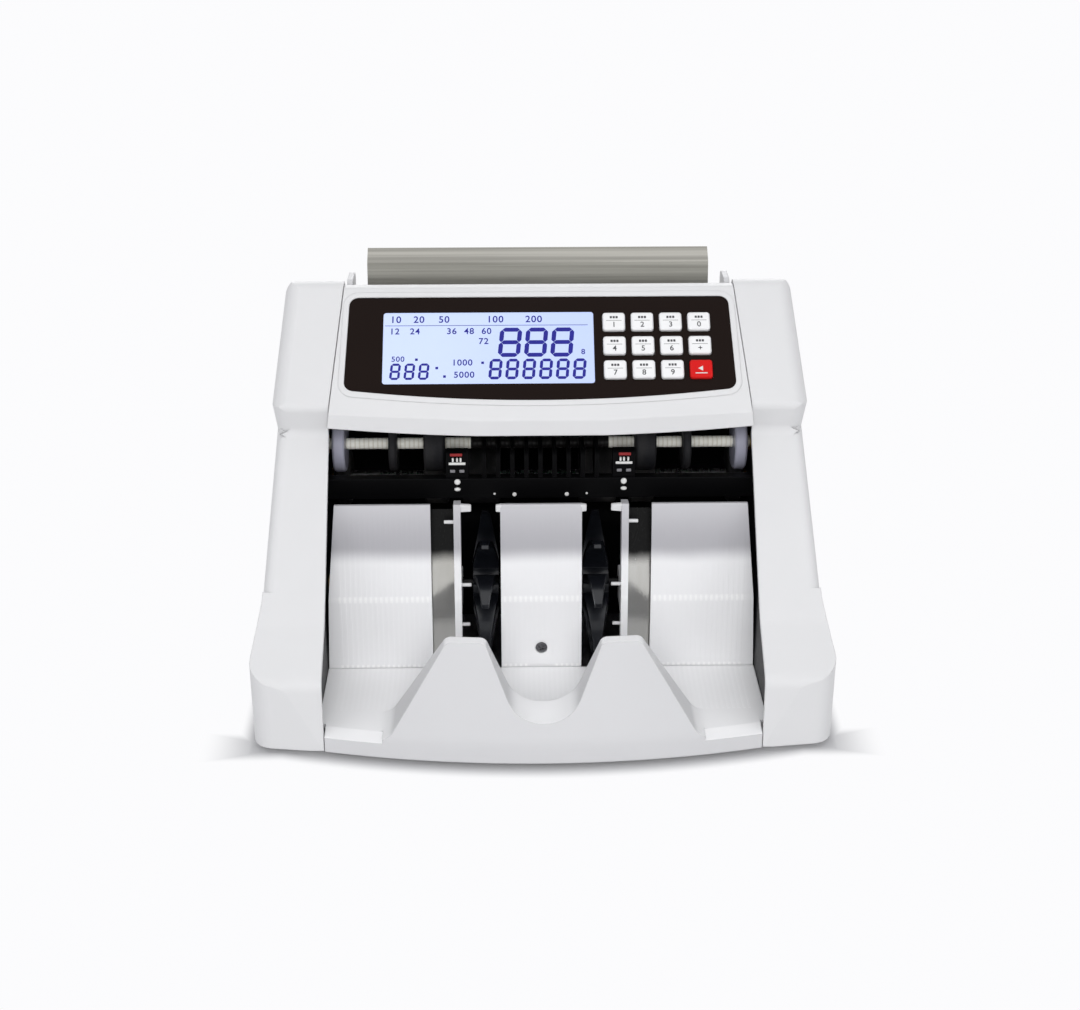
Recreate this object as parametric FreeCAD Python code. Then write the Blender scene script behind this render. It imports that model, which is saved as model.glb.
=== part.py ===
import FreeCAD, Part
import math
import os

# Banknote counting machine with a top hopper and an open stacker at the front.
# Millimetres. +X to the operator's right, front towards -Y, +Z up, origin under the middle of the body.

V = FreeCAD.Vector

# Overall size of the body
body_width = 290.0
body_depth = 245.0
foot_height = 3.0
foot_radius = 9.0
foot_inset = 60.0          # feet inside the body's flanks
foot_front = 47.0          # front feet behind the machine's front
foot_rear = 27.0           # rear feet ahead of the machine's rear
wall = 2.5
seam = 0.4                 # gap between neighbouring housing mouldings
fit = 0.3                  # gap between pieces that sit side by side
running = 0.05             # radial clearance of a shaft in its bush
bond = 0.03                # radial clearance of a hub or bush fixed in its seat

# Side covers, seen from the side, from the front and from above
cover_width = 36.0
cover_yaw = 4.5            # the outer front corner stands this far back of the seam
apron_bulge = 12.5         # the middle of the front apron stands this far ahead of the seam
base_front_height = 37.0
shoulder_height = 55.0
column_foot_run = 30.0
column_run = 96.5
ear_drop = 16.6            # top of the column below the ear's low edge
skirt_height = 44.0
skirt_top_height = 64.0
skirt_inset = 4.4          # flank at the top of the skirt, inside the base flank
column_inset = 9.3         # column flank inside the base flank
ear_flare = 1.4
ear_draft = 4.6
ear_height = 198.0
ear_step = 3.8             # ear's low edge behind the head's lip
ear_sink = 1.0             # ear's slope below the panel's plane
rear_shoulder_height = 142.0
ear_edge = 8.0             # rounding of the ear's outer edges
column_edge = 6.0          # rounding of the column's outer front edge
edge_margin = 4.0          # the column's rounding stops this far above its foot
corner_overlap = 2.0       # roundings of the ear and the column run past the corner between them

# Sloped control head
panel_slope = 42.0
panel_length = 72.9
panel_top_height = 194.0
panel_top_run = 153.0      # panel's top edge behind the machine's front
head_top_depth = 9.0
head_rear_run = 12.5       # foot of the head's rear wall ahead of its top
lip_height = 7.5
lip_bow = 2.2              # plan bow of the lip
lip_sag = 3.8              # droop of the lip's lower edge
head_taper = 0.118         # the head narrows by this much for each unit of height
panel_wall = 3.0
overlay_margin = 10.0      # overlay's top edge inside the head's side at the lip
overlay_flare = 1.8        # overlay's bottom edge is wider by this much, each side
overlay_top = 5.3
overlay_height = 54.0
overlay_bow = 5.4
overlay_depth = 0.8
rim_width = 3.0
rim_height = 0.5
key_width = 11.6
key_height = 10.3
key_pitch_x = 14.7
key_pitch_t = 13.9
key_top = 15.6             # first row below the panel's top edge
key_margin = 10.2          # last column inside the overlay's edge
key_proud = 1.8
key_travel = 0.8
key_flange = 1.0
display_margin = 18.0      # display inside the overlay's left edge
display_top = 14.5
display_height = 41.0
display_key_gap = 5.0
board_thickness = 1.6

# Hopper
hopper_gap = 32.0
plate_lean = 17.0
plate_thickness = 1.2
plate_width = 184.0
plate_rise = 10.0          # top of the hopper plate above the head's top
plate_hem = 10.0
plate_flange = 14.0
guide_thickness = 3.0
guide_drop = 3.0           # top of the note guides below the ears
guide_collar = 5.5
guide_collar_length = 6.0
guide_arm = 6.0            # height of the guides' arms
guide_arm_reach = 8.0
guide_rod_run = 13.0       # rod of the guides behind the hopper plate's foot
guide_rod_drop = 8.0
rod_radius = 3.0
rear_deck_drop = 2.6       # rear deck below the lip of the head

# Note path and rollers
shaft_radius = 3.0
pinch_radius = 15.0
drum_radius = 15.0
nip_gap = 0.3
pinch_run = 132.5          # pinch shaft behind the machine's front
pinch_drop = 22.6          # pinch shaft below the lip of the head
path_slope = 31.0
path_gap = 2.0             # room for notes above the path
pickup_radius = 10.0
pickup_reach = 28.2        # pickup shaft behind the nip
pickup_proud = 0.65
feed_roller_width = 20.0
feed_roller_side = 21.5    # inner end of the feed rollers
comb_reach = 28.7          # front of the exit comb ahead of the pinch shaft
comb_depth = 6.0
comb_drop = 3.0            # comb's bar below the top of the stacker
comb_rise = 8.0            # comb's bar above the top of the stacker
comb_ribs = 9
comb_pitch = 7.3
comb_rib_width = 2.2
sensor_side = 37.5         # inner end of the sensor holders
sensor_width = 11.5
sensor_depth = 9.0
sensor_rise = 6.0          # top of the sensor holders above the pinch shaft
separator_width = 36.0
separator_depth = 9.0
separator_height = 10.0
separator_gap = 1.2
guide_sheet = 2.0          # black sheets before and behind the rollers
bush_radius = 5.0
bush_flange = 7.5
bush_flange_width = 1.5
frame_thickness = 2.0
frame_setback = 3.5        # frame plate outside the cover's rim

# Stacker
tray_floor_height = 10.0
tray_depth = 77.0
horn_height = 59.0
horn_inner = 28.5
horn_outer = 47.5
horn_slope_end = 77.0
horn_thickness = 6.0       # apron at the top of the horns
thumb_cut_height = 21.0
thumb_cut_half = 13.3
thumb_cut_radius = 18.5
apron_straight = 11.0
apron_lean = 17.0
apron_back_lean = 6.0
ledge_run = 8.0            # bevel of the tray's front edge beside the horns
ledge_drop = 1.8
stacker_ridge_height = 49.0
stacker_top_height = 99.0
stacker_ridge_lean = 3.0
stacker_top_lean = 12.0
stacker_ridge_taper = 1.6
stacker_top_taper = 6.0
centre_panel_half = 21.0
fan_slot = 20.5
strip_width = 3.6
strip_depth = 9.0
strip_lug = 9.0
chute_slot = 11.9
chute_top_height = 92.0
chute_thickness = 1.0
screw_height = 20.5        # stacker screw above the housing's lower edge
screw_pocket_half = 6.0
screw_pocket_height = 25.0
screw_pocket_depth = 0.8
screw_radius = 3.0
screw_crown = 2.6
screw_head = 1.2

# Stacking fans
fan_radius = 40.0
fan_hub_radius = 12.0
fan_width = 13.5
fan_side = 29.0            # middle of each fan, beside the machine's middle
fan_run = 105.0            # fan shaft behind the machine's front
fan_height = 45.7
fan_fingers = 8
finger_sweep = 34.0
finger_root = 5.0
finger_tip = 2.2
finger_tip_width = 3.2
finger_shoulder = 14.0     # radius at which the fingers start to narrow

# Drive
belt_width = 5.0
belt_thickness = 1.4
belt_gap = 2.5             # belts beside the frame plate and each other
pulley_lip = 2.0
drive_pulley_radius = 12.0
motor_pulley_radius = 6.0
pickup_pulley_radius = 7.0
fan_drive_radius = 8.0
fan_pulley_radius = 16.0
motor_radius = 21.0
motor_length = 52.0
motor_rear = 48.0          # motor's shaft ahead of the machine's rear
motor_height = 42.0
motor_shaft_radius = 2.5
motor_shaft_reach = 29.0   # length of the shaft inside the can
motor_nose = 5.0

# Rear
inlet_width = 30.0
inlet_height = 50.0
inlet_margin = 42.6        # inlet module's middle inside the rear cover's edge
inlet_foot = 18.0
inlet_depth = 24.0
socket_width = 24.0
socket_height = 16.5
socket_depth = 16.0
rocker_width = 13.0
rocker_height = 19.0
rocker_depth = 9.0
rocker_tilt = 9.0
vent_count = 9
vent_pitch = 7.0
vent_width = 3.0
vent_length = 34.0

# Boards
standoff_height = 5.0
standoff_radius = 3.0
standoff_inset = 5.0
main_board_margin = 8.0    # main board inside the head's left side
main_board_width = 139.2
main_board_depth = 43.0
main_board_gap = 6.0       # main board ahead of the inlet module
transformer_width = 34.0
transformer_depth = 28.0
transformer_inset = 12.0
component_height = 12.0
capacitor_radius = 5.0
capacitor_pitch = 14.0

# Places worked out from the sizes above
half = body_width / 2
front = -body_depth / 2
rear = body_depth / 2
floor_z = foot_height
pan_top = floor_z + wall
rim_x = half - cover_width
frame_in = rim_x + frame_setback
frame_out = frame_in + frame_thickness
inner_half = frame_in - fit
head_half = rim_x - seam
inlet_side = head_half - inlet_margin
seam_y = front + apron_bulge
pan_front_y = seam_y + cover_yaw + 2 * wall
slope = math.radians(panel_slope)
panel_y = front + panel_top_run
panel_z = floor_z + panel_top_height
lip_end_y = panel_y - panel_length * math.cos(slope)
lip_end_z = panel_z - panel_length * math.sin(slope)
lip_y = lip_end_y - lip_bow
lip_z = lip_end_z - lip_height
head_rear_y = panel_y + head_top_depth
head_foot_y = head_rear_y - head_rear_run
head_foot_z = lip_z
ear_top_z = floor_z + ear_height
ear_low_y = lip_end_y + ear_step
ear_low_z = lip_end_z + ear_step * math.tan(slope) - ear_sink
ear_top_y = ear_low_y + (ear_top_z - ear_low_z) / math.tan(slope)
column_top_y = seam_y + column_run
column_top_z = ear_low_z - ear_drop
column_half = half - column_inset
shoulder_y = seam_y + column_foot_run
shoulder_z = floor_z + shoulder_height
base_top_z = floor_z + base_front_height
overlay_half = head_half - overlay_margin
key_right = overlay_half - key_margin
key_left = key_right - 3 * key_pitch_x - key_width
display_left = -overlay_half + display_margin
display_right = key_left - display_key_gap
path = math.radians(path_slope)
pinch_y = front + pinch_run
pinch_z = lip_z - pinch_drop
nip_y = pinch_y + (pinch_radius + nip_gap / 2) * math.sin(path)
nip_z = pinch_z - (pinch_radius + nip_gap / 2) * math.cos(path)
drum_y = nip_y + (drum_radius + nip_gap / 2) * math.sin(path)
drum_z = nip_z - (drum_radius + nip_gap / 2) * math.cos(path)
pickup_y = nip_y + pickup_reach
pickup_z = nip_z + pickup_reach * math.tan(path) - (pickup_radius - pickup_proud) / math.cos(path)
guide_y = pinch_y + pinch_radius + path_gap
fan_y = front + fan_run
fan_z = floor_z + fan_height
motor_y = rear - motor_rear
motor_z = floor_z + motor_height
tray_back_y = front + tray_depth
tray_z = floor_z + tray_floor_height
horn_z = floor_z + horn_height
ridge_y = tray_back_y + stacker_ridge_lean
ridge_z = floor_z + stacker_ridge_height
stacker_top_y = tray_back_y + stacker_top_lean
stacker_top_z = floor_z + stacker_top_height
strip_in = centre_panel_half + fan_slot
strip_out = strip_in + strip_width
panel_in = strip_out + chute_slot
feed_roller_end = feed_roller_side + feed_roller_width
belt_x = frame_out + bush_flange_width + belt_gap
second_belt_x = belt_x + belt_width + belt_gap
shaft_end = second_belt_x + belt_width + belt_gap / 2
rear_top_z = lip_z - rear_deck_drop
plate_top_y = head_rear_y + hopper_gap
plate_top_z = panel_z + plate_rise
plate_foot_y = plate_top_y - (plate_top_z - rear_top_z) * math.tan(math.radians(plate_lean))
guide_rod_y = plate_foot_y + guide_rod_run
guide_rod_z = rear_top_z - wall - guide_rod_drop
guide_x = head_half - head_taper * (ear_top_z - lip_z) - fit
inlet_z = floor_z + inlet_foot + inlet_height / 2


def spot(plane, a, b, c):
    """Point at a, b on the plane xy, xz or yz, and c off that plane."""
    if plane == "xy":
        return V(a, b, c)
    if plane == "xz":
        return V(a, c, b)
    return V(c, a, b)


def outline(plane, corners, c=0.0):
    """Closed wire through corners (a, b) or (a, b, radius); a radius becomes a tangent arc."""
    stations = []
    for index, corner in enumerate(corners):
        here = V(corner[0], corner[1], 0)
        if len(corner) < 3:
            stations.append((here, here, here))
            continue
        before = corners[index - 1]
        after = corners[(index + 1) % len(corners)]
        back = (V(before[0], before[1], 0) - here).normalize()
        ahead = (V(after[0], after[1], 0) - here).normalize()
        half_angle = back.getAngle(ahead) / 2
        tangent = corner[2] / math.tan(half_angle)
        inward = (back + ahead).normalize()
        middle = here + inward * (corner[2] / math.sin(half_angle) - corner[2])
        stations.append((here + back * tangent, middle, here + ahead * tangent))
    edges = []
    for index, (start, middle, end) in enumerate(stations):
        if (end - start).Length > 1e-6:
            arc = [spot(plane, p.x, p.y, c) for p in (start, middle, end)]
            edges.append(Part.Arc(*arc).toShape())
        following = stations[(index + 1) % len(stations)][0]
        if (following - end).Length > 1e-6:
            line = [spot(plane, p.x, p.y, c) for p in (end, following)]
            edges.append(Part.LineSegment(*line).toShape())
    return Part.Wire(edges)


def prism(plane, corners, c0, c1):
    """Solid of an outline on a plane, drawn out from c0 to c1 off that plane."""
    return Part.Face(outline(plane, corners, c0)).extrude(spot(plane, 0, 0, c1 - c0))


def meet(line_a, line_b):
    """Crossing of two lines, each a point and a direction."""
    (point_a, along_a), (point_b, along_b) = line_a, line_b
    cross = along_a.x * along_b.y - along_a.y * along_b.x
    gap = point_b - point_a
    return point_a + along_a * ((gap.x * along_b.y - gap.y * along_b.x) / cross), cross


def moved_side(start, end, distance):
    """Side of an outline moved to its left by a distance."""
    along = V(end[0] - start[0], end[1] - start[1], 0).normalize()
    return V(start[0], start[1], 0) + V(-along.y, along.x, 0) * distance, along


def inset(corners, walls):
    """Anticlockwise outline with each side moved inwards by its own wall."""
    sides = []
    for index, start in enumerate(corners):
        sides.append(moved_side(start, corners[(index + 1) % len(corners)], walls[index]))
    moved = []
    for index, corner in enumerate(corners):
        point, cross = meet(sides[index - 1], sides[index])
        if len(corner) > 2:
            radius = corner[2] - math.copysign(wall, cross)
            moved.append((point.x, point.y, max(radius, fit)))
        else:
            moved.append((point.x, point.y))
    return moved


def bent(points, thickness):
    """Outline of a bent sheet that lies to the left of a line of points (a, b) or (a, b, radius)."""
    sides = [moved_side(a, b, thickness) for a, b in zip(points, points[1:])]
    last = sides[-1][0] + V(points[-1][0] - points[-2][0], points[-1][1] - points[-2][1], 0)
    far = [(sides[0][0].x, sides[0][0].y)]
    for index in range(1, len(points) - 1):
        point, cross = meet(sides[index - 1], sides[index])
        radius = points[index][2] - math.copysign(thickness, cross)
        far.append((point.x, point.y, max(radius, thickness / 4)))
    far.append((last.x, last.y))
    return list(points) + far[::-1]


def block(x0, x1, y0, y1, z0, z1):
    return prism("xy", [(x0, y0), (x1, y0), (x1, y1), (x0, y1)], z0, z1)


def rounded(a0, a1, b0, b1, radius):
    """Corners of a rectangle with rounded corners."""
    return [(a0, b0, radius), (a1, b0, radius), (a1, b1, radius), (a0, b1, radius)]


def rod(plane, a, b, c0, c1, radius):
    """Round bar standing on the plane at a, b, from c0 to c1."""
    return Part.makeCylinder(radius, c1 - c0, spot(plane, a, b, c0), spot(plane, 0, 0, 1))


def mirrored(shape):
    return shape.mirror(V(0, 0, 0), V(1, 0, 0))


def both_sides(shape):
    return [shape, mirrored(shape)]


def bow(half_span, sagitta):
    """Height over its chord, and radius, of the one rounded corner that bows a side outwards."""
    radius = (half_span ** 2 + sagitta ** 2) / (2 * sagitta)
    return half_span * math.tan(math.asin(half_span / radius)), radius * 0.9


def save(name, shapes):
    """Write one node; a list of shapes is a group of separate pieces."""
    pieces = shapes if isinstance(shapes, list) else [shapes]
    solids = [solid for piece in pieces for solid in piece.Solids]
    shape = solids[0] if len(solids) == 1 else Part.makeCompound(solids)
    shape.exportStep("parts/" + name + ".step")


def seam_x(z):
    """Half width of the head at a height."""
    return head_half - head_taper * (z - lip_z)


def path_z(y):
    """Height of the note path, which falls forwards from the hopper to the nip."""
    return nip_z + (y - nip_y) * math.tan(path)


def cover_side():
    """Side view of the covers: base front, sloped column, ear beside the panel, falling rear."""
    return [
        (seam_y, floor_z, 1.0),
        (rear, floor_z, 1.0),
        (rear, floor_z + rear_shoulder_height, 22.0),
        (ear_top_y, ear_top_z, 8.0),
        (ear_low_y, ear_low_z, 5.0),
        (column_top_y, column_top_z, 7.0),
        (shoulder_y, shoulder_z, 18.0),
        (seam_y + wall, base_top_z, 10.0),
    ]


def cover_front():
    """Front view of the right cover: rim, flared skirt, column flank and ear."""
    return [
        (rim_x, floor_z),
        (half, floor_z, 1.0),
        (half, floor_z + skirt_height, 20.0),
        (half - skirt_inset, floor_z + skirt_top_height, 20.0),
        (column_half, column_top_z, 12.0),
        (column_half + ear_flare, ear_low_z, 10.0),
        (column_half + ear_flare - ear_draft, ear_top_z, 8.0),
        (seam_x(ear_top_z) + seam, ear_top_z),
        (rim_x, lip_z),
    ]


def cover_plan():
    """Plan of the right cover, yawed at the front and rounded at its outer corners."""
    reach = 20.0
    return [
        (rim_x - reach, seam_y - cover_yaw * reach / cover_width),
        (half, seam_y + cover_yaw, 11.0),
        (half, rear, 14.0),
        (rim_x - reach, rear),
    ]


def three_views(side, face_on, plan):
    """Solid that has the given side view, front view and plan."""
    solid = prism("yz", side, 0, half + wall)
    solid = solid.common(prism("xz", face_on, front - wall, rear + wall))
    return solid.common(prism("xy", plan, -foot_height, ear_top_z + wall))


def on_flank(flank, start, end, z):
    """Point at a height, where the side view's edge from start to end meets the flank."""
    y = start[0] + (end[0] - start[0]) * (z - start[1]) / (end[1] - start[1])
    for low, high in zip(flank, flank[1:]):
        if low[1] <= z <= high[1]:
            return V(low[0] + (high[0] - low[0]) * (z - low[1]) / (high[1] - low[1]), y, z)


def eased(solid, start, end, radius):
    """Round a straight outer edge of the right cover, from start to end."""
    along = (end - start).normalize()
    inside = V(rim_x, rear / 2, shoulder_z)
    inward = []
    for across in (V(1, 0, 0), V(0, 1, 0)):
        step = (across - along * across.dot(along)).normalize()
        inward.append(step if step.dot(inside - start) > 0 else step * -1)
    half_angle = inward[0].getAngle(inward[1]) / 2
    middle = (inward[0] + inward[1]).normalize()
    reach = radius / math.tan(half_angle)
    near = start + inward[0] * reach
    far = start + inward[1] * reach
    crown = start + middle * (radius / math.sin(half_angle) - radius)
    outside = start - middle * wall
    wedge = [Part.Arc(near, crown, far).toShape(), Part.LineSegment(far, outside).toShape(),
             Part.LineSegment(outside, near).toShape()]
    return solid.cut(Part.Face(Part.Wire(wedge)).extrude(end - start))


def eased_edges(solid, side, flank, lost):
    """Round the outer edges of the ear and the column; inside, the radius is less by the wall."""
    rear_shoulder, ear_top, ear_low, column_top, shoulder = side[2:7]
    top = on_flank(flank, ear_low, ear_top, ear_top[1])
    low = on_flank(flank, ear_low, ear_top, ear_low[1])
    beyond = (top - low).normalize() * ear_edge
    solid = eased(solid, low - beyond, top + beyond, ear_edge - lost)
    fallen = on_flank(flank, ear_top, rear_shoulder, max(ear_low[1], flank[4][1]))
    solid = eased(solid, top + (top - fallen) * 0.1, fallen + (fallen - top) * 0.3, ear_edge - lost)
    foot = on_flank(flank, ear_low, column_top, column_top[1] - corner_overlap)
    solid = eased(solid, low + (low - foot), foot, ear_edge - lost)
    head = on_flank(flank, shoulder, column_top, column_top[1] + corner_overlap)
    foot = on_flank(flank, shoulder, column_top, flank[2][1] + edge_margin)
    return eased(solid, foot, head, column_edge - lost)


def side_cover():
    """Right cover: a thin moulding, open at its rim and underneath, closed beside the head and hopper."""
    outer = three_views(cover_side(), cover_front(), cover_plan())
    outer = eased_edges(outer, cover_side(), cover_front()[1:7], 0)
    side = inset(cover_side(), [-2 * wall] + [wall] * 7)
    hollow = inset(cover_front(), [-2 * wall] + [wall] * 8)[1:8]
    flank = hollow[:6]
    hollow += [(rim_x + wall, lip_z), (rim_x - cover_width, lip_z), (rim_x - cover_width, floor_z - 2 * wall)]
    plan = inset(cover_plan(), [wall, wall, wall, -wall])
    return outer.cut(eased_edges(three_views(side, hollow, plan), side, flank, wall))


def base_pan():
    """Steel floor pan with round standoffs for the main board."""
    side = half - wall - fit
    pan = prism("xy", rounded(-side, side, pan_front_y, rear - wall - fit, cover_width * 0.4), floor_z, pan_top)
    for x, y in board_corners():
        pan = pan.fuse(rod("xy", x, y, pan_top, board_z(), standoff_radius))
    return pan.removeSplitter()


def rubber_feet():
    feet = []
    for y in (front + foot_front, rear - foot_rear):
        foot = Part.makeCone(foot_radius - 1.0, foot_radius, foot_height, V(half - foot_inset, y, 0))
        feet += both_sides(foot)
    return feet


def frame_plate():
    """Right frame plate: carries every shaft, stands on the pan inside the cover."""
    corners = [
        (seam_y + 12.0, pan_top),
        (rear - 2 * wall, pan_top),
        (rear - 2 * wall, lip_z - fit - 15.0, 8.0),
        (rear - 25.0, lip_z - wall, 8.0),
        (column_top_y + 8.0, lip_z - wall, 4.0),
        (shoulder_y + 7.0, shoulder_z - 4.0, 10.0),
        (seam_y + 12.0, base_top_z - 6.0, 4.0),
    ]
    plate = prism("yz", corners, frame_in, frame_out)
    for y, z in shaft_places():
        plate = plate.cut(rod("yz", y, z, frame_in - 1, frame_out + 1, bush_radius + bond))
    back = rear - pickup_y
    low = motor_z + motor_radius + bush_flange
    window = rounded(pickup_y + 0.21 * back, pickup_y + 0.41 * back, low, pickup_z - pickup_radius, 0.06 * back)
    return plate.cut(prism("yz", window, frame_in - 1, frame_out + 1))


def shaft_places():
    return [(pinch_y, pinch_z), (drum_y, drum_z), (pickup_y, pickup_z), (fan_y, fan_z)]


def drive_frame_plate():
    """Right frame plate, with the hole for the motor's nose."""
    return frame_plate().cut(rod("yz", motor_y, motor_z, frame_in - 1, frame_out + 1, 2.5 * motor_shaft_radius))


def shaft_bushes():
    """Flanged bushes, one at each end of each shaft."""
    bushes = []
    for y, z in shaft_places():
        sleeve = rod("yz", y, z, frame_in - 1.0, frame_out, bush_radius)
        flange = rod("yz", y, z, frame_out, frame_out + bush_flange_width, bush_flange)
        bore = rod("yz", y, z, frame_in - 2, frame_out + 2 * bush_flange_width, shaft_radius + running)
        bushes += both_sides(sleeve.fuse(flange).cut(bore).removeSplitter())
    return bushes


def rod_places():
    """Tie rods between the frame plates, then the rod that carries the note guides."""
    return [
        (drum_y + 3 * rod_radius, motor_z - motor_radius + 1.5 * rod_radius),
        (rear - inlet_depth - 3 * rod_radius, motor_z + motor_radius + 5 * rod_radius),
        (rear - 6 * rod_radius, lip_z - 6 * rod_radius),
        (guide_rod_y, guide_rod_z),
    ]


def cross_rods():
    return [rod("yz", y, z, -frame_in, frame_in, rod_radius) for y, z in rod_places()]


def head_side():
    """Side view of the control head: lip, sloped panel, narrow top, rear wall that faces the hopper."""
    plane_z = panel_z - (panel_y - lip_y) * math.tan(slope)
    top_z = panel_z + 0.5
    return [
        (lip_y, lip_z - lip_sag),
        (head_foot_y, head_foot_z),
        (head_rear_y, top_z, 3.0),
        (panel_y + (top_z - panel_z) / math.tan(slope), top_z, 4.0),
        (lip_y, plane_z, 4.0),
    ]


def head_front():
    """Front view of the control head, with the droop of its lower edge."""
    sag, radius = bow(head_half, lip_sag)
    top = panel_z + wall
    return [
        (-head_half, lip_z),
        (0, lip_z - sag, radius),
        (head_half, lip_z),
        (seam_x(top), top),
        (-seam_x(top), top),
    ]


def head_plan():
    """Plan of the control head, with the bow of its lip."""
    reach, radius = bow(head_half, lip_bow)
    return [
        (-head_half, lip_end_y),
        (0, lip_end_y - reach, radius),
        (head_half, lip_end_y),
        (head_half, head_rear_y),
        (-head_half, head_rear_y),
    ]


def head_solid(side, face_on, plan):
    solid = prism("yz", side, -half, half)
    solid = solid.common(prism("xz", face_on, front, rear))
    return solid.common(prism("xy", plan, 0, panel_z + 2 * wall))


def on_panel(corners, h0, h1):
    """Solid drawn on the panel: corners (x, distance below the top edge), from h0 to h1 off its face."""
    flat = prism("xy", [(c[0], -c[1]) + tuple(c[2:]) for c in corners], h0, h1)
    flat.Placement = FreeCAD.Placement(V(0, panel_y, panel_z), FreeCAD.Rotation(V(1, 0, 0), panel_slope))
    return flat


def overlay_corners(grow):
    """Outline of the black face, with its bowed lower edge, grown all round."""
    low_half = overlay_half + overlay_flare + grow
    high_half = overlay_half + grow
    low = overlay_top + overlay_height + grow
    reach, radius = bow(low_half, overlay_bow)
    corner = 5.0 + grow
    return [
        (-high_half, overlay_top - grow, corner),
        (high_half, overlay_top - grow, corner),
        (low_half, low, corner),
        (0, low + reach, radius * 0.95),
        (-low_half, low, corner),
    ]


def display_corners(grow):
    low = display_top + display_height + grow
    return rounded(display_left - grow, display_right + grow, display_top - grow, low, 1.5)


def key_corners(row, column, grow):
    x = key_left + column * key_pitch_x
    t = key_top + row * key_pitch_t
    return rounded(x - grow, x + key_width + grow, t - grow, t + key_height + grow, 1.6)


def panel_openings(solid, h0, h1):
    """Cut the display and key openings through a piece of the panel."""
    solid = solid.cut(on_panel(display_corners(fit), h0, h1))
    for row in range(3):
        for column in range(4):
            solid = solid.cut(on_panel(key_corners(row, column, fit), h0, h1))
    return solid


def mat_depth():
    """Distance below the panel's face at which the pressed keys stop, on the keypad mat."""
    return panel_wall + key_flange + key_travel + 2 * fit


def board_depth():
    return mat_depth() + 2.0


def control_head():
    """Head moulding: a hollow wedge, with a raised rim round the recessed face and openings through it."""
    outer = head_solid(head_side(), head_front(), head_plan())
    side = inset(head_side(), [-4 * wall, wall, wall, panel_wall, wall])
    face_on = inset(head_front(), [-4 * wall, -4 * wall, wall, -wall, wall])
    plan = inset(head_plan(), [wall, wall, wall, -wall, wall])
    shell = outer.cut(head_solid(side, face_on, plan))
    shell = shell.fuse(on_panel(overlay_corners(rim_width), -panel_wall / 2, rim_height))
    shell = shell.cut(on_panel(overlay_corners(bond), -overlay_depth, rim_height + 1))
    shell = panel_openings(shell, -2 * panel_wall, 1)
    for x, t in control_board_corners():
        post = rounded(x - standoff_radius, x + standoff_radius, t - standoff_radius, t + standoff_radius, 2.0)
        shell = shell.fuse(on_panel(post, -board_depth(), -panel_wall / 2))
    return shell.removeSplitter()


def control_board_corners():
    side = overlay_half - 5.0
    return [(x, t) for x in (-side, side) for t in (12.0, overlay_top + overlay_height - 3.0)]


def face_panel():
    return panel_openings(on_panel(overlay_corners(0), -overlay_depth, 0), -2 * panel_wall, 1)


def display_window():
    """Clear lens, level with the face and seated on the display module."""
    return on_panel(display_corners(fit - bond), -panel_wall, -fit)


def display_module():
    """Liquid crystal display with its frame, on the control board behind the lens."""
    return on_panel(display_corners(2.0), -board_depth(), -panel_wall)


def keypad_mat():
    """Rubber mat with a dome under each key."""
    low = key_top + 2 * key_pitch_t + key_height + 3.0
    corners = rounded(key_left - 2.0, key_right + 1.5, key_top - 3.0, low, 2.0)
    return on_panel(corners, -board_depth(), -mat_depth())


def control_board():
    side = overlay_half - 1.0
    low = overlay_top + overlay_height + 1.0
    corners = rounded(-side, side, 8.0, low, 2.0)
    return on_panel(corners, -board_depth() - board_thickness, -board_depth())


def key(row, column):
    """Moulded key with a crowned edge, held from below by its flange."""
    cap = on_panel(key_corners(row, column, 0), -panel_wall - fit - key_flange, key_proud)
    centre = cap.CenterOfMass
    normal = V(0, -math.sin(slope), math.cos(slope))
    top = max((face for face in cap.Faces), key=lambda face: face.CenterOfMass.sub(centre).dot(normal))
    cap = cap.makeChamfer(0.6, top.Edges)
    flange = on_panel(key_corners(row, column, 1.0), -panel_wall - fit - key_flange, -panel_wall - fit)
    return cap.fuse(flange).removeSplitter()


KEY_NAMES = (
    ("key_1", "key_2", "key_3", "key_add"),
    ("key_4", "key_5", "key_6", "key_batch"),
    ("key_7", "key_8", "key_9", "key_start"),
)


def rear_cover():
    """Rear moulding: back wall and the deck behind the hopper, with vents and the inlet's opening."""
    deck_front = plate_foot_y + plate_thickness + fit
    points = [(rear, floor_z), (rear, rear_top_z, 22.0), (deck_front, rear_top_z)]
    shell = prism("yz", bent(points, wall), -head_half, head_half)
    opening = rounded(-inlet_side - inlet_width / 2, -inlet_side + inlet_width / 2,
                      inlet_z - inlet_height / 2, inlet_z + inlet_height / 2, 2.0)
    shell = shell.cut(prism("xz", opening, rear - 2 * wall, rear + 1))
    for index in range(vent_count):
        x = inlet_side + (index - (vent_count - 1) / 2) * vent_pitch
        slot = rounded(x - vent_width / 2, x + vent_width / 2, inlet_z - vent_length / 2,
                       inlet_z + vent_length / 2, vent_width / 2.1)
        shell = shell.cut(prism("xz", slot, rear - 2 * wall, rear + 1))
    for x, z in rear_screw_places():
        shell = shell.cut(rod("xz", x, z, rear - screw_head, rear + 1, screw_radius + fit))
    return shell


def rear_screw_places():
    return [(x, z) for x in (-head_half + 8.0, head_half - 8.0) for z in (floor_z + 12.0, rear_top_z - 30.0)]


def tray_arc():
    """Plan radius of the apron, from its bulge between the covers."""
    return (head_half ** 2 + apron_bulge ** 2) / (2 * apron_bulge)


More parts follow.
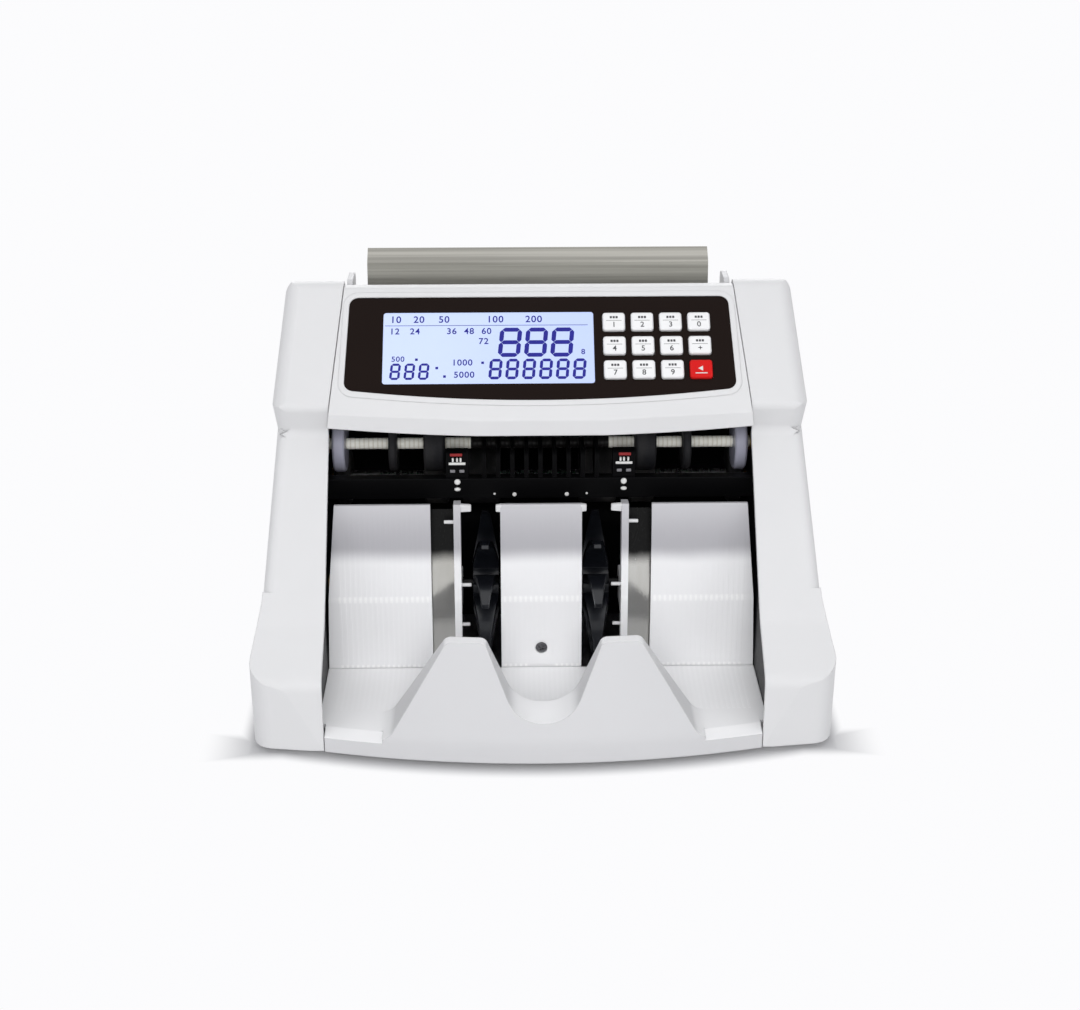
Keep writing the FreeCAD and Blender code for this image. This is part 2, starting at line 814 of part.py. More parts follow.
def apron(section, face_on):
    """Solid of a section bowed round the tray's arc, cut to a front view."""
    sweep = 2 * math.degrees(math.asin(half / tray_arc()))
    axis = V(0, front + tray_arc(), 0)
    face = Part.Face(outline("yz", section))
    face.rotate(axis, V(0, 0, 1), -sweep / 2)
    return face.revolve(axis, V(0, 0, 1), sweep).common(prism("xz", face_on, front - wall, tray_back_y))


def apron_section():
    """Section of the apron through the middle: a straight foot, then a wedge that leans back."""
    bend_z = floor_z + apron_straight
    top_y = front + (horn_z - bend_z) * math.tan(math.radians(apron_lean))
    back_y = top_y + horn_thickness
    foot_y = back_y + (horn_z - floor_z) * math.tan(math.radians(apron_back_lean))
    return [(front, floor_z), (foot_y, floor_z), (back_y, horn_z), (top_y, horn_z), (front, bend_z, 20.0)]


def apron_front():
    """Front view of the apron: two horns with a thumb cut between them, and low ends."""
    side = [
        (head_half, tray_z), (horn_slope_end, tray_z, 10.0),
        (horn_outer, horn_z, 5.0), (horn_inner, horn_z, 4.0),
        (thumb_cut_half, floor_z + thumb_cut_height, thumb_cut_radius),
    ]
    left = [(-c[0],) + tuple(c[1:]) for c in reversed(side)]
    return [(-head_half, floor_z), (head_half, floor_z)] + side + left


def stacker_tray():
    """Tray with a bowed, hollow apron whose two horns hold the notes and leave a thumb cut between them."""
    section = apron_section()
    face_on = apron_front()
    shell = apron(section, face_on).cut(block(-half, half, pan_front_y - fit, rear, 0, pan_top))
    neck_y = seam_y + cover_yaw + 2 * wall + fit
    reach, radius = bow(head_half, apron_bulge)
    floor = [
        (-head_half, seam_y + wall), (0, seam_y + wall - reach, radius), (head_half, seam_y + wall),
        (head_half, neck_y), (inner_half, neck_y + fit), (inner_half, tray_back_y - fit),
        (-inner_half, tray_back_y - fit), (-inner_half, neck_y + fit), (-head_half, neck_y),
    ]
    tray = shell.fuse(prism("xy", floor, tray_z - wall, tray_z))
    hollow = apron(inset(section, [-2 * wall] + [wall] * 4), inset(face_on, [-2 * wall] + [wall] * 11))
    tray = tray.cut(hollow)
    ledge = [(front, tray_z - ledge_drop), (front + ledge_run, tray_z), (front + ledge_run, tray_z + wall),
             (front - wall, tray_z + wall), (front - wall, tray_z - ledge_drop)]
    bevel = apron(ledge, rounded(horn_slope_end + wall, half, floor_z, horn_z, wall))
    for piece in both_sides(bevel):
        tray = tray.cut(piece)
    rib_front = seam_y + apron_bulge + 5 * wall
    for x in (-head_half + wall, 0, head_half - wall):
        rib = block(x - wall / 2, x + wall / 2, rib_front, tray_back_y - fit, pan_top, tray_z - wall / 2)
        tray = tray.fuse(rib)
    return tray.removeSplitter()


def stacker_front_line():
    return [(tray_back_y, pan_top), (ridge_y, ridge_z, 12.0), (stacker_top_y, stacker_top_z)]


def stacker_sheet(depth, x0, x1):
    """Part of the backstop's bent sheet between x0 and x1, to a depth behind its front."""
    return prism("yz", bent(stacker_front_line()[::-1], depth), x0, x1)


def stacker_back():
    """Backstop behind the tray, split by the fan slots and the chute slots into panels and strips."""
    sheet = stacker_sheet(wall, -inner_half, inner_half)
    ridge_half = inner_half - stacker_ridge_taper
    top_half = inner_half - stacker_top_taper
    taper = [
        (-inner_half, pan_top), (inner_half, pan_top), (ridge_half, ridge_z), (top_half, stacker_top_z),
        (-top_half, stacker_top_z), (-ridge_half, ridge_z),
    ]
    sheet = sheet.common(prism("xz", taper, front, rear))
    slots = block(centre_panel_half, panel_in, front, rear, tray_z - wall, stacker_top_z + 1)
    for piece in both_sides(slots):
        sheet = sheet.cut(piece)
    strip = stacker_sheet(strip_depth, strip_in, strip_out)
    lug_y = ridge_y + wall / 2
    strip = strip.fuse(block(strip_in, strip_out, lug_y, fan_y, fan_z - strip_lug, fan_z + strip_lug))
    strip = strip.fuse(rod("yz", fan_y, fan_z, strip_in, strip_out, strip_lug))
    strip = strip.cut(rod("yz", fan_y, fan_z, strip_in - 1, strip_out + 1, shaft_radius + fit))
    strip = strip.cut(block(0, half, front, rear, 0, pan_top))
    for piece in both_sides(strip):
        sheet = sheet.fuse(piece)
    pocket = stacker_sheet(screw_pocket_depth, -screw_pocket_half, screw_pocket_half)
    pocket = pocket.common(block(-half, half, front, rear, tray_z - wall, floor_z + screw_pocket_height))
    sheet = sheet.cut(pocket)
    y = stacker_screw_y()
    sheet = sheet.cut(rod("xz", 0, floor_z + screw_height, y - wall, y + screw_head, screw_radius + fit))
    return sheet.removeSplitter()


def stacker_screw_y():
    """Crown of the screw in the middle panel."""
    return tray_back_y + stacker_ridge_lean / 2


def stacker_chute():
    """Bright steel guides behind the chute slots, bent to a foot on the pan."""
    top_y = fan_y - 2 * shaft_radius
    low_y = tray_back_y + 3 * wall
    points = [(low_y + chute_slot, pan_top), (low_y, pan_top, 2.0),
              (low_y, floor_z + chute_top_height / 2, chute_top_height), (top_y, floor_z + chute_top_height)]
    guide = prism("yz", bent(points[::-1], chute_thickness), strip_out + fit, panel_in + chute_slot / 2)
    return both_sides(guide)


def hopper_deck():
    """Sloped deck under the note stack, slotted for the pickup rollers."""
    start = nip_y + drum_radius * 0.7
    drop = 0.5 / math.cos(path)
    back = pickup_y + pickup_radius * 0.6
    points = [(back, path_z(back) - drop), (start, path_z(start) - drop)]
    deck = prism("yz", bent(points, wall), -inner_half, inner_half)
    slot = rod("yz", pickup_y, pickup_z, feed_roller_side - 1.0, feed_roller_end + 1.0, pickup_radius + 1.0)
    for piece in both_sides(slot):
        deck = deck.cut(piece)
    return deck


def hopper_back_plate():
    """Brushed steel rest for the note stack, flanged onto the rear deck and hemmed at the top."""
    hem_run = plate_hem * math.cos(math.radians(35.0))
    hem_rise = plate_hem * math.sin(math.radians(35.0))
    points = [
        (plate_foot_y + plate_flange, rear_top_z), (plate_foot_y, rear_top_z, 2.0),
        (plate_top_y - hem_run, plate_top_z - hem_rise, 4.0), (plate_top_y, plate_top_z),
    ]
    return prism("yz", bent(points[::-1], plate_thickness), -plate_width / 2, plate_width / 2)


def note_guide():
    """Right note guide: a fin beside the stack, an arm under the plate and a collar on its rod."""
    clear = 1.5
    x0 = guide_x - guide_thickness
    foot_y = head_foot_y + wall + 3.0
    back_y = plate_foot_y - clear
    top_z = ear_top_z - guide_drop
    rise = (top_z - head_foot_z) / (panel_z - head_foot_z)
    front_top = head_foot_y + head_rear_run * rise + clear
    lean = math.tan(math.radians(plate_lean))
    back_top = plate_foot_y + (top_z - rear_top_z) * lean - plate_thickness - 4 * clear
    fin = [
        (foot_y, path_z(foot_y) + 0.8), (back_y, path_z(back_y) + 0.8), (back_y, rear_top_z),
        (back_top, top_z, 5.0), (front_top, top_z, 5.0), (head_foot_y + clear, head_foot_z + clear, 3.0),
        (foot_y, head_foot_z - 3.0, 3.0),
    ]
    guide = prism("yz", fin, x0, guide_x)
    arm_z = guide_rod_z + guide_collar - fit
    guide = guide.fuse(block(x0, guide_x, back_y - guide_arm_reach, guide_rod_y, arm_z - guide_arm, arm_z))
    guide = guide.fuse(rod("yz", guide_rod_y, guide_rod_z, x0 - guide_collar_length, guide_x, guide_collar))
    guide = guide.cut(rod("yz", guide_rod_y, guide_rod_z, 0, guide_x + 1, rod_radius + running))
    return guide.removeSplitter()


def upper_guide():
    """Black wall behind the pinch wheels, from the head's rear wall down to the note path."""
    back = guide_y + guide_sheet
    return block(-inner_half, inner_half, guide_y, back, path_z(back) + path_gap, lip_z - fit)


def lower_guide():
    """Black sheet behind the fans, bent back under the transport rollers and screwed to the pan."""
    clear = drum_radius + path_gap
    foot_y = fan_y + fan_radius + 2 * path_gap
    bend_z = drum_z - clear * 1.5
    end_y = drum_y + clear * 1.8
    points = [(foot_y, pan_top), (foot_y, bend_z, drum_radius), (end_y, bend_z + end_y - foot_y)]
    return prism("yz", bent(points[::-1], guide_sheet), -inner_half, inner_half)


def separator_block():
    """Rubber-faced block that lets one note at a time into the nip."""
    y0 = guide_y + guide_sheet
    y1 = y0 + separator_depth
    corners = [(y0, path_z(y0) + path_gap), (y1, path_z(y1) + separator_gap, 1.5),
               (y1, path_z(y1) + separator_height, 3.0), (y0, head_foot_z - wall)]
    return prism("yz", corners, -separator_width / 2, separator_width / 2)


def comb_top():
    """Top of the exit comb's bar."""
    return stacker_top_z + comb_rise


def exit_comb():
    """Black cross bar with a comb of ribs that strips the notes off the pinch shaft."""
    y0 = pinch_y - comb_reach
    top = comb_top()
    bar = block(-inner_half, inner_half, y0, y0 + comb_depth, stacker_top_z - comb_drop, top)
    rib_y = pinch_y - shaft_radius - 1.5
    rib_top = pinch_z + sensor_rise
    root_y = y0 + comb_depth / 3
    profile = [(root_y, top - 4.0), (rib_y, top - 1.0), (rib_y, rib_top, 3.0), (root_y, rib_top, 5.0)]
    for index in range(comb_ribs):
        x = (index - (comb_ribs - 1) / 2) * comb_pitch
        bar = bar.fuse(prism("yz", profile, x - comb_rib_width / 2, x + comb_rib_width / 2))
    return bar.removeSplitter()


def sensor_holders():
    """Sensor carriers that stand on the comb's bar, either side of its ribs."""
    y0 = pinch_y - comb_reach + 1.0
    y1 = y0 + sensor_depth
    top = pinch_z + sensor_rise
    low = comb_top()
    side = [(y0, low), (y1, low), (y1, top, 3.0), (y0 + sensor_depth / 3, top, 3.0), (y0, pinch_z, 2.0)]
    return both_sides(prism("yz", side, sensor_side, sensor_side + sensor_width))


def wheel(x0, x1, y, z, radius, hub):
    """Roller with a crowned tread, fixed on a shaft."""
    edge = min(1.0, (x1 - x0) / 4)
    body = rod("yz", y, z, x0, x1, radius)
    rims = [e for e in body.Edges if isinstance(e.Curve, Part.Circle)]
    body = body.makeChamfer(edge, rims)
    return body.cut(rod("yz", y, z, x0 - 1, x1 + 1, hub + bond))


def pinch_end_wheels():
    x1 = frame_in - 3.5
    return both_sides(wheel(x1 - 6.5, x1, pinch_y, pinch_z, pinch_radius, shaft_radius))


def pinch_discs():
    """Thin guide discs and wide pinch wheels between the end wheels."""
    discs = []
    for x0, x1 in ((panel_in + 18.3, panel_in + 22.5), (strip_out + 5.0, strip_out + 16.0)):
        discs += both_sides(wheel(x0, x1, pinch_y, pinch_z, pinch_radius, shaft_radius))
    return discs


def transport_rollers():
    """Rubber rollers under the pinch wheels, and the two feed rollers between them."""
    end = frame_in - 3.0
    spans = [(end - 7.5, end), (strip_out + 4.0, strip_out + 17.0), (feed_roller_side, feed_roller_end)]
    rollers = []
    for x0, x1 in spans:
        rollers += both_sides(wheel(x0, x1, drum_y, drum_z, drum_radius, shaft_radius))
    return rollers


def pickup_rollers():
    return both_sides(wheel(feed_roller_side, feed_roller_end, pickup_y, pickup_z, pickup_radius, shaft_radius))


def finger():
    """One curved, tapering finger of a stacking fan, swept back from its root."""
    def rim_point(radius, degrees):
        angle = math.radians(degrees)
        return V(0, radius * math.cos(angle), radius * math.sin(angle))
    root = fan_hub_radius - 1.0
    middle = (root + fan_radius) / 2
    root_turn = math.degrees(finger_root / root)
    middle_turn = math.degrees((finger_root + finger_tip) / 2 / middle)
    tip_turn = math.degrees(finger_tip / fan_radius)
    lead = [rim_point(root, 0), rim_point(middle, finger_sweep * 0.35), rim_point(fan_radius, finger_sweep)]
    trail = [rim_point(fan_radius, finger_sweep + tip_turn), rim_point(middle, finger_sweep * 0.35 + middle_turn),
             rim_point(root, root_turn)]
    edges = [
        Part.Arc(*lead).toShape(), Part.LineSegment(lead[2], trail[0]).toShape(),
        Part.Arc(*trail).toShape(), Part.LineSegment(trail[2], lead[0]).toShape(),
    ]
    return Part.Face(Part.Wire(edges)).extrude(V(fan_width, 0, 0))


def stacker_fans():
    """Two rubber fans whose fingers catch each note and lay it in the tray."""
    fan = rod("yz", 0, 0, 0, fan_width, fan_hub_radius)
    blade = finger()
    for index in range(fan_fingers):
        turned = blade.copy()
        turned.rotate(V(0, 0, 0), V(1, 0, 0), index * 360.0 / fan_fingers)
        fan = fan.fuse(turned)
    middle = fan_width / 2
    tip = finger_tip_width / 2
    taper = [(0, 0), (fan_width, 0), (fan_width, finger_shoulder), (middle + tip, fan_radius + 1),
             (middle - tip, fan_radius + 1), (0, finger_shoulder)]
    fan = fan.common(Part.Face(outline("xy", taper)).revolve(V(0, 0, 0), V(1, 0, 0), 360))
    fan = fan.cut(rod("yz", 0, 0, -1, fan_width + 1, shaft_radius + bond)).removeSplitter()
    fan.translate(V(fan_side - middle, fan_y, fan_z))
    return both_sides(fan)


def pulley(x0, y, z, radius, hub):
    """Belt pulley with a lip each side of the belt."""
    edge = 0.8
    clear = fit
    x1 = x0 + belt_width
    body = rod("yz", y, z, x0 - clear, x1 + clear, radius)
    body = body.fuse(rod("yz", y, z, x0 - clear - edge, x0 - clear, radius + pulley_lip))
    body = body.fuse(rod("yz", y, z, x1 + clear, x1 + clear + edge, radius + pulley_lip))
    return body.cut(rod("yz", y, z, x0 - 4, x1 + 4, hub + bond)).removeSplitter()


def belt_loop(place_a, radius_a, place_b, radius_b):
    """Face inside a belt that runs round two circles."""
    (ya, za), (yb, zb) = place_a, place_b
    heading = math.atan2(zb - za, yb - ya)
    spread = math.acos((radius_a - radius_b) / math.hypot(yb - ya, zb - za))

    def on_a(angle):
        return V(0, ya + radius_a * math.cos(angle), za + radius_a * math.sin(angle))

    def on_b(angle):
        return V(0, yb + radius_b * math.cos(angle), zb + radius_b * math.sin(angle))
    up, down = heading + spread, heading - spread
    edges = [
        Part.LineSegment(on_a(up), on_b(up)).toShape(),
        Part.Arc(on_b(up), on_b(heading), on_b(down)).toShape(),
        Part.LineSegment(on_b(down), on_a(down)).toShape(),
        Part.Arc(on_a(down), on_a(heading + math.pi), on_a(up)).toShape(),
    ]
    return Part.Face(Part.Wire(edges))


def belt(x0, place_a, radius_a, place_b, radius_b):
    """Flat belt round two pulleys."""
    near = fit
    far = fit + belt_thickness
    band = belt_loop(place_a, radius_a + far, place_b, radius_b + far)
    band = band.cut(belt_loop(place_a, radius_a + near, place_b, radius_b + near))
    band = band.extrude(V(belt_width, 0, 0))
    band.translate(V(x0, 0, 0))
    return band


DRUM = (drum_y, drum_z)
PICKUP = (pickup_y, pickup_z)
FAN = (fan_y, fan_z)
MOTOR = (motor_y, motor_z)


def drive_motor():
    """Motor can with a stepped nose, bolted to the inside of the right frame plate."""
    x1 = frame_in
    can = rod("yz", motor_y, motor_z, x1 - motor_length, x1, motor_radius)
    rims = [e for e in can.Edges if isinstance(e.Curve, Part.Circle)]
    can = can.makeChamfer(wall, rims)
    x0 = x1 - motor_length
    can = can.fuse(rod("yz", motor_y, motor_z, x0 - motor_nose, x0 + wall, motor_radius * 0.45))
    can = can.fuse(rod("yz", motor_y, motor_z, x1 - wall, frame_out + 0.5, 2.4 * motor_shaft_radius))
    bore = rod("yz", motor_y, motor_z, x1 - motor_shaft_reach - fit, frame_out + 2, motor_shaft_radius + running)
    return can.cut(bore).removeSplitter()


def motor_pulley():
    """Pulley on the motor's shaft."""
    shaft_start = frame_in - motor_shaft_reach
    shaft = rod("yz", motor_y, motor_z, shaft_start, second_belt_x - fit, motor_shaft_radius)
    return [shaft, pulley(belt_x, motor_y, motor_z, motor_pulley_radius, motor_shaft_radius)]


def board_z():
    return pan_top + standoff_height


def board_span():
    """Main board's sides: left, right, front and rear."""
    x0 = -head_half + main_board_margin
    y1 = rear - inlet_depth - main_board_gap
    return x0, x0 + main_board_width, y1 - main_board_depth, y1


def board_corners():
    x0, x1, y0, y1 = board_span()
    edge = standoff_inset
    return [(x, y) for x in (x0 + edge, x1 - edge) for y in (y0 + edge, y1 - edge)]


def main_board():
    """Main board on the pan's standoffs, with its transformer and capacitors."""
    x0, x1, y0, y1 = board_span()
    top = board_z() + board_thickness
    pieces = [prism("xy", rounded(x0, x1, y0, y1, 2.0), board_z(), top)]
    left = x0 + transformer_inset
    right = left + transformer_width
    low = y0 + standoff_inset
    transformer = rounded(left, right, low, low + transformer_depth, 2.0)
    pieces.append(prism("xy", transformer, top, top + component_height))
    for index in range(1, 4):
        x = right + index * capacitor_pitch
        pieces.append(rod("xy", x, low + capacitor_radius, top, top + component_height, capacitor_radius))
    return pieces


def power_inlet():
    """Mains inlet with three pins, and the switch's frame above it, in one module."""
    x0 = -inlet_side - inlet_width / 2 + bond
    x1 = -inlet_side + inlet_width / 2 - bond
    z0 = inlet_z - inlet_height / 2 + bond
    z1 = inlet_z + inlet_height / 2 - bond
    body = prism("xz", rounded(x0, x1, z0, z1, 2.0), rear - inlet_depth, rear)
    low = z0 + 4.0
    socket = [
        (-inlet_side - socket_width / 2, low, 2.0), (-inlet_side + socket_width / 2, low, 2.0),
        (-inlet_side + socket_width / 2, low + socket_height - 5.0, 1.0),
        (-inlet_side + socket_width / 2 - 5.0, low + socket_height, 1.0),
        (-inlet_side - socket_width / 2 + 5.0, low + socket_height, 1.0),
        (-inlet_side - socket_width / 2, low + socket_height - 5.0, 1.0),
    ]
    body = body.cut(prism("xz", socket, rear - socket_depth, rear + 1))
    for x, z in ((-7.0, low + 6.0), (0.0, low + 10.5), (7.0, low + 6.0)):
        x -= inlet_side
        body = body.fuse(block(x - 1.0, x + 1.0, rear - socket_depth - 1, rear - 6.0, z - 2.0, z + 2.0))
    z = rocker_z()
    across = rocker_width / 2 + fit
    up = rocker_height / 2 + fit
    window = rounded(-inlet_side - across, -inlet_side + across, z - up, z + up, 1.0)
    body = body.cut(prism("xz", window, rear - rocker_depth - 6.0, rear + 1))
    return body.removeSplitter()


def rocker_z():
    return inlet_z + inlet_height / 2 - 5.0 - rocker_height / 2


def power_rocker():
    """Rocker of the mains switch, at rest with its lower end pressed in."""
    z = rocker_z()
    y = rear - rocker_depth / 2
    reach = rocker_height / 2 - 1.0
    side = [
        (y - rocker_depth / 2 - 1.0, z - reach * 0.5, 2.0), (y - rocker_depth / 2 - 1.0, z + reach * 0.5, 2.0),
        (y + 1.0, z + reach, 1.0), (y + rocker_depth / 2 - 1.0, z + reach, 1.0),
        (y + rocker_depth / 2 - 2.5, z, 12.0),
        (y + rocker_depth / 2 - 1.0, z - reach, 1.0), (y + 1.0, z - reach, 1.0),
    ]
    body = prism("yz", side, -inlet_side - rocker_width / 2, -inlet_side + rocker_width / 2)
    body.rotate(V(0, y, z), V(1, 0, 0), rocker_tilt)
    return body


def screw(x, y, z, turn):
    """Head of a screw along Y, with its crown at y; turn is -1 where it faces the front."""
    return Part.makeCone(screw_radius, screw_crown, screw_head, V(x, y - screw_head * turn, z), V(0, turn, 0))


def housing_screws():
    """Screw in the stacker's middle panel and the screws of the rear cover."""
    screws = [screw(0, stacker_screw_y(), floor_z + screw_height, -1)]
    for x, z in rear_screw_places():
        screws.append(screw(x, rear, z, 1))
    return screws


def shaft(x0, x1, y, z):
    """Shaft with bevelled ends."""
    bar = rod("yz", y, z, x0, x1, shaft_radius)
    return bar.makeChamfer(0.5, [e for e in bar.Edges if isinstance(e.Curve, Part.Circle)])


def build():
    os.makedirs("parts", exist_ok=True)
    cover = side_cover()
    frame = frame_plate()
    bush_end = frame_out + bush_flange_width + 1.0
    save("right_side_cover", cover)
    save("left_side_cover", mirrored(cover))
    save("base_pan", base_pan())
    save("rubber_feet", rubber_feet())
    save("left_frame_plate", mirrored(frame))
    save("right_frame_plate", drive_frame_plate())
    save("shaft_bushes", shaft_bushes())
    save("cross_rods", cross_rods())
    save("control_head", control_head())
    save("face_panel", face_panel())
    save("display_window", display_window())
    save("display_module", display_module())
    save("keypad_mat", keypad_mat())
    save("control_board", control_board())
    for row, names in enumerate(KEY_NAMES):
        for column, name in enumerate(names):
            save(name, key(row, column))
    save("rear_cover", rear_cover())
    save("stacker_tray", stacker_tray())
    save("stacker_back", stacker_back())
    save("stacker_chute", stacker_chute())
    save("hopper_deck", hopper_deck())
    save("hopper_back_plate", hopper_back_plate())
    guide = note_guide()
    save("right_note_guide", guide)
    save("left_note_guide", mirrored(guide))
    save("upper_guide", upper_guide())
    save("lower_guide", lower_guide())
    save("separator_block", separator_block())
    save("exit_comb", exit_comb())
    save("sensor_holders", sensor_holders())
    save("pinch_shaft", shaft(-bush_end, bush_end, pinch_y, pinch_z))
    save("pinch_end_wheels", pinch_end_wheels())
    save("pinch_discs", pinch_discs())
    save("transport_shaft", shaft(-shaft_end, shaft_end, drum_y, drum_z))
    save("transport_rollers", transport_rollers())
    pulleys = [pulley(belt_x, drum_y, drum_z, drive_pulley_radius, shaft_radius),
               pulley(second_belt_x, drum_y, drum_z, fan_drive_radius, shaft_radius),
               mirrored(pulley(belt_x, drum_y, drum_z, pickup_pulley_radius, shaft_radius))]
    save("transport_pulleys", pulleys)
    save("pickup_shaft", shaft(-shaft_end, bush_end, pickup_y, pickup_z))
    save("pickup_rollers", pickup_rollers())
    save("pickup_pulley", mirrored(pulley(belt_x, pickup_y, pickup_z, pickup_pulley_radius, shaft_radius)))
    save("fan_shaft", shaft(-bush_end, shaft_end, fan_y, fan_z))
    save("stacker_fans", stacker_fans())
    save("fan_pulley", pulley(second_belt_x, fan_y, fan_z, fan_pulley_radius, shaft_radius))
    save("drive_belt", belt(belt_x, MOTOR, motor_pulley_radius, DRUM, drive_pulley_radius))
    save("fan_belt", belt(second_belt_x, DRUM, fan_drive_radius, FAN, fan_pulley_radius))
    save("pickup_belt", mirrored(belt(belt_x, DRUM, pickup_pulley_radius, PICKUP, pickup_pulley_radius)))
    save("drive_motor", drive_motor())
    save("motor_pulley", motor_pulley())
    save("main_board", main_board())
    save("power_inlet", power_inlet())
    save("power_rocker", power_rocker())
    save("housing_screws", housing_screws())


build()
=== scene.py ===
import bpy
import math
from mathutils import Matrix, Vector


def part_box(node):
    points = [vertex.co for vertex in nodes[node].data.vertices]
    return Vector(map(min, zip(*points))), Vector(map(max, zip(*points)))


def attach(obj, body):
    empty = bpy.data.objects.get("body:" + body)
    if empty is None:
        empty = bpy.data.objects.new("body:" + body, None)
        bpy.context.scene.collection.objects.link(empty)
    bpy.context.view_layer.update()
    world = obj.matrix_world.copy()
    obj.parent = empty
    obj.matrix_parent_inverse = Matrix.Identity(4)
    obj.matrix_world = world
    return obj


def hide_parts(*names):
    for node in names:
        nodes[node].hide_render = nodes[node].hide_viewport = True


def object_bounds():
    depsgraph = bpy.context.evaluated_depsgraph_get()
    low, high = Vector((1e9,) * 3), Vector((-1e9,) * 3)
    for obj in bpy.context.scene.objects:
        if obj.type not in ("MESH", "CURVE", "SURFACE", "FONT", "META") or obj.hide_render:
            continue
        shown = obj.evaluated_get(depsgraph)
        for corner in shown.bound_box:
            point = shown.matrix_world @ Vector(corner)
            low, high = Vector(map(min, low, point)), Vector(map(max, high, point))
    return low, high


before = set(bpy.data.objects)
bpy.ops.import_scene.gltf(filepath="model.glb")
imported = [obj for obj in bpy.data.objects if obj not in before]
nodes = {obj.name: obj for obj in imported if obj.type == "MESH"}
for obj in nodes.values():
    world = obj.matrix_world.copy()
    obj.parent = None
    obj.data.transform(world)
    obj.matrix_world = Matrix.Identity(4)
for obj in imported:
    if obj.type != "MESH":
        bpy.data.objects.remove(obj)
cad_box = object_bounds()


# Floor pan and the two frame plates: pressed sheet steel with deburred edges. The pan is zinc plated,
# which shows as a soft spangle with fine scuffs, and the plates have a black powder coat with a fine peel.
class Socket:
    """One socket of a finish: sums on it add Math nodes, and node() adds any other node."""

    def __init__(self, tree, output=None):
        self.tree = tree
        self.output = output

    def node(self, kind, settings, inputs, output=0):
        """Add a node with its settings and the values or links of its sockets."""
        made = self.tree.nodes.new("ShaderNode" + kind)
        for name, value in settings.items():
            setattr(made, name, value)
        for name, value in inputs.items():
            if isinstance(value, Socket):
                self.tree.links.new(value.output, made.inputs[name])
            else:
                made.inputs[name].default_value = value
        return Socket(self.tree, made.outputs[output] if made.outputs else None)

    def between(self, low, high):
        """Colour that goes from low to high as this mask goes from 0 to 1."""
        return self.node("Mix", {"data_type": "RGBA"}, {0: self, 6: low, 7: high}, 2)

    def step(self, low, high):
        """Mask that rises smoothly from 0 at low to 1 at high."""
        return self.node("MapRange", {"interpolation_type": "SMOOTHSTEP"},
                         {"Value": self, "From Min": low, "From Max": high})

    def __add__(self, other):
        return self.node("Math", {"operation": "ADD"}, {0: self, 1: other})

    def __sub__(self, other):
        return self.node("Math", {"operation": "SUBTRACT"}, {0: self, 1: other})

    def __rsub__(self, other):
        return self.node("Math", {"operation": "SUBTRACT"}, {0: other, 1: self})

    def __mul__(self, other):
        return self.node("Math", {"operation": "MULTIPLY"}, {0: self, 1: other})

    def __abs__(self):
        return self.node("Math", {"operation": "ABSOLUTE"}, {0: self})

    __radd__ = __add__
    __rmul__ = __mul__


def start_finish(name):
    """An empty material, and the object's own coordinates in it."""
    material = bpy.data.materials.new(name)
    material.use_nodes = True
    material.node_tree.nodes.clear()
    return material, Socket(material.node_tree).node("TexCoord", {}, {}, "Object")


def noise(where, scale, detail=2.0, stretch=(1.0, 1.0, 1.0)):
    """Cloudy value from 0 to 1, stretched along the axes whose factor is small."""
    place = where.node("Mapping", {}, {"Vector": where, "Scale": stretch})
    return where.node("TexNoise", {}, {"Vector": place, "Scale": scale, "Detail": detail})


def eased_edge(where, radius):
    """Direction of the surface, turned smoothly across its sharp edges."""
    return where.node("Bevel", {"samples": 4}, {"Radius": radius})


def relief(height, strength, depth, edge=None):
    """Direction of the surface with a fine relief, over eased edges where they are given."""
    inputs = {"Height": height, "Strength": strength, "Distance": depth}
    if edge:
        inputs["Normal"] = edge
    return height.node("Bump", {}, inputs)


def end_finish(material, surface):
    """Principled surface with the given constants and sockets."""
    tree = Socket(material.node_tree)
    tree.node("OutputMaterial", {}, {"Surface": tree.node("BsdfPrincipled", {}, surface)})
    return material


def dress(material, *names):
    """Give CAD nodes a finish."""
    for name in names:
        for place in nodes[name].material_slots:
            place.material = material


sheet_edge = 0.0004
zinc, where = start_finish("zinc_plated_steel")
spangle = where.node("TexVoronoi", {"feature": "SMOOTH_F1"}, {"Vector": where, "Scale": 170.0})
cloud = noise(where, 45.0, 4.0)
scuffs = noise(where, 320.0, 3.0, (1.0, 0.06, 0.2)).step(0.56, 0.72)
end_finish(zinc, {
    "Base Color": (spangle * 0.7 + cloud * 0.5).between((0.42, 0.43, 0.45, 1), (0.58, 0.59, 0.61, 1)),
    "Metallic": 1.0,
    "Roughness": 0.36 + cloud * 0.16 - scuffs * 0.12,
    "Normal": relief(spangle * 0.5 + scuffs * 0.4, 0.12, 0.0003, eased_edge(where, sheet_edge)),
})
dress(zinc, "base_pan")

frame_coat, where = start_finish("black_powder_coat")
peel = noise(where, 700.0, 3.0)
wear = noise(where, 60.0, 5.0).step(0.55, 0.80)
end_finish(frame_coat, {
    "Base Color": wear.between((0.010, 0.010, 0.011, 1), (0.024, 0.024, 0.025, 1)),
    "Roughness": 0.42 + peel * 0.14 + wear * 0.1,
    "Specular IOR Level": 0.3,
    "Normal": relief(peel, 0.2, 0.0002, eased_edge(where, sheet_edge)),
})
dress(frame_coat, "left_frame_plate", "right_frame_plate")


# Four round feet of black rubber, pushed into the pan. The same compound, dusted by paper, makes the
# rollers, the discs on the pinch shaft and the flat belts.
rubber_edge = 0.0003
paper_dust = (0.23, 0.22, 0.21, 1)


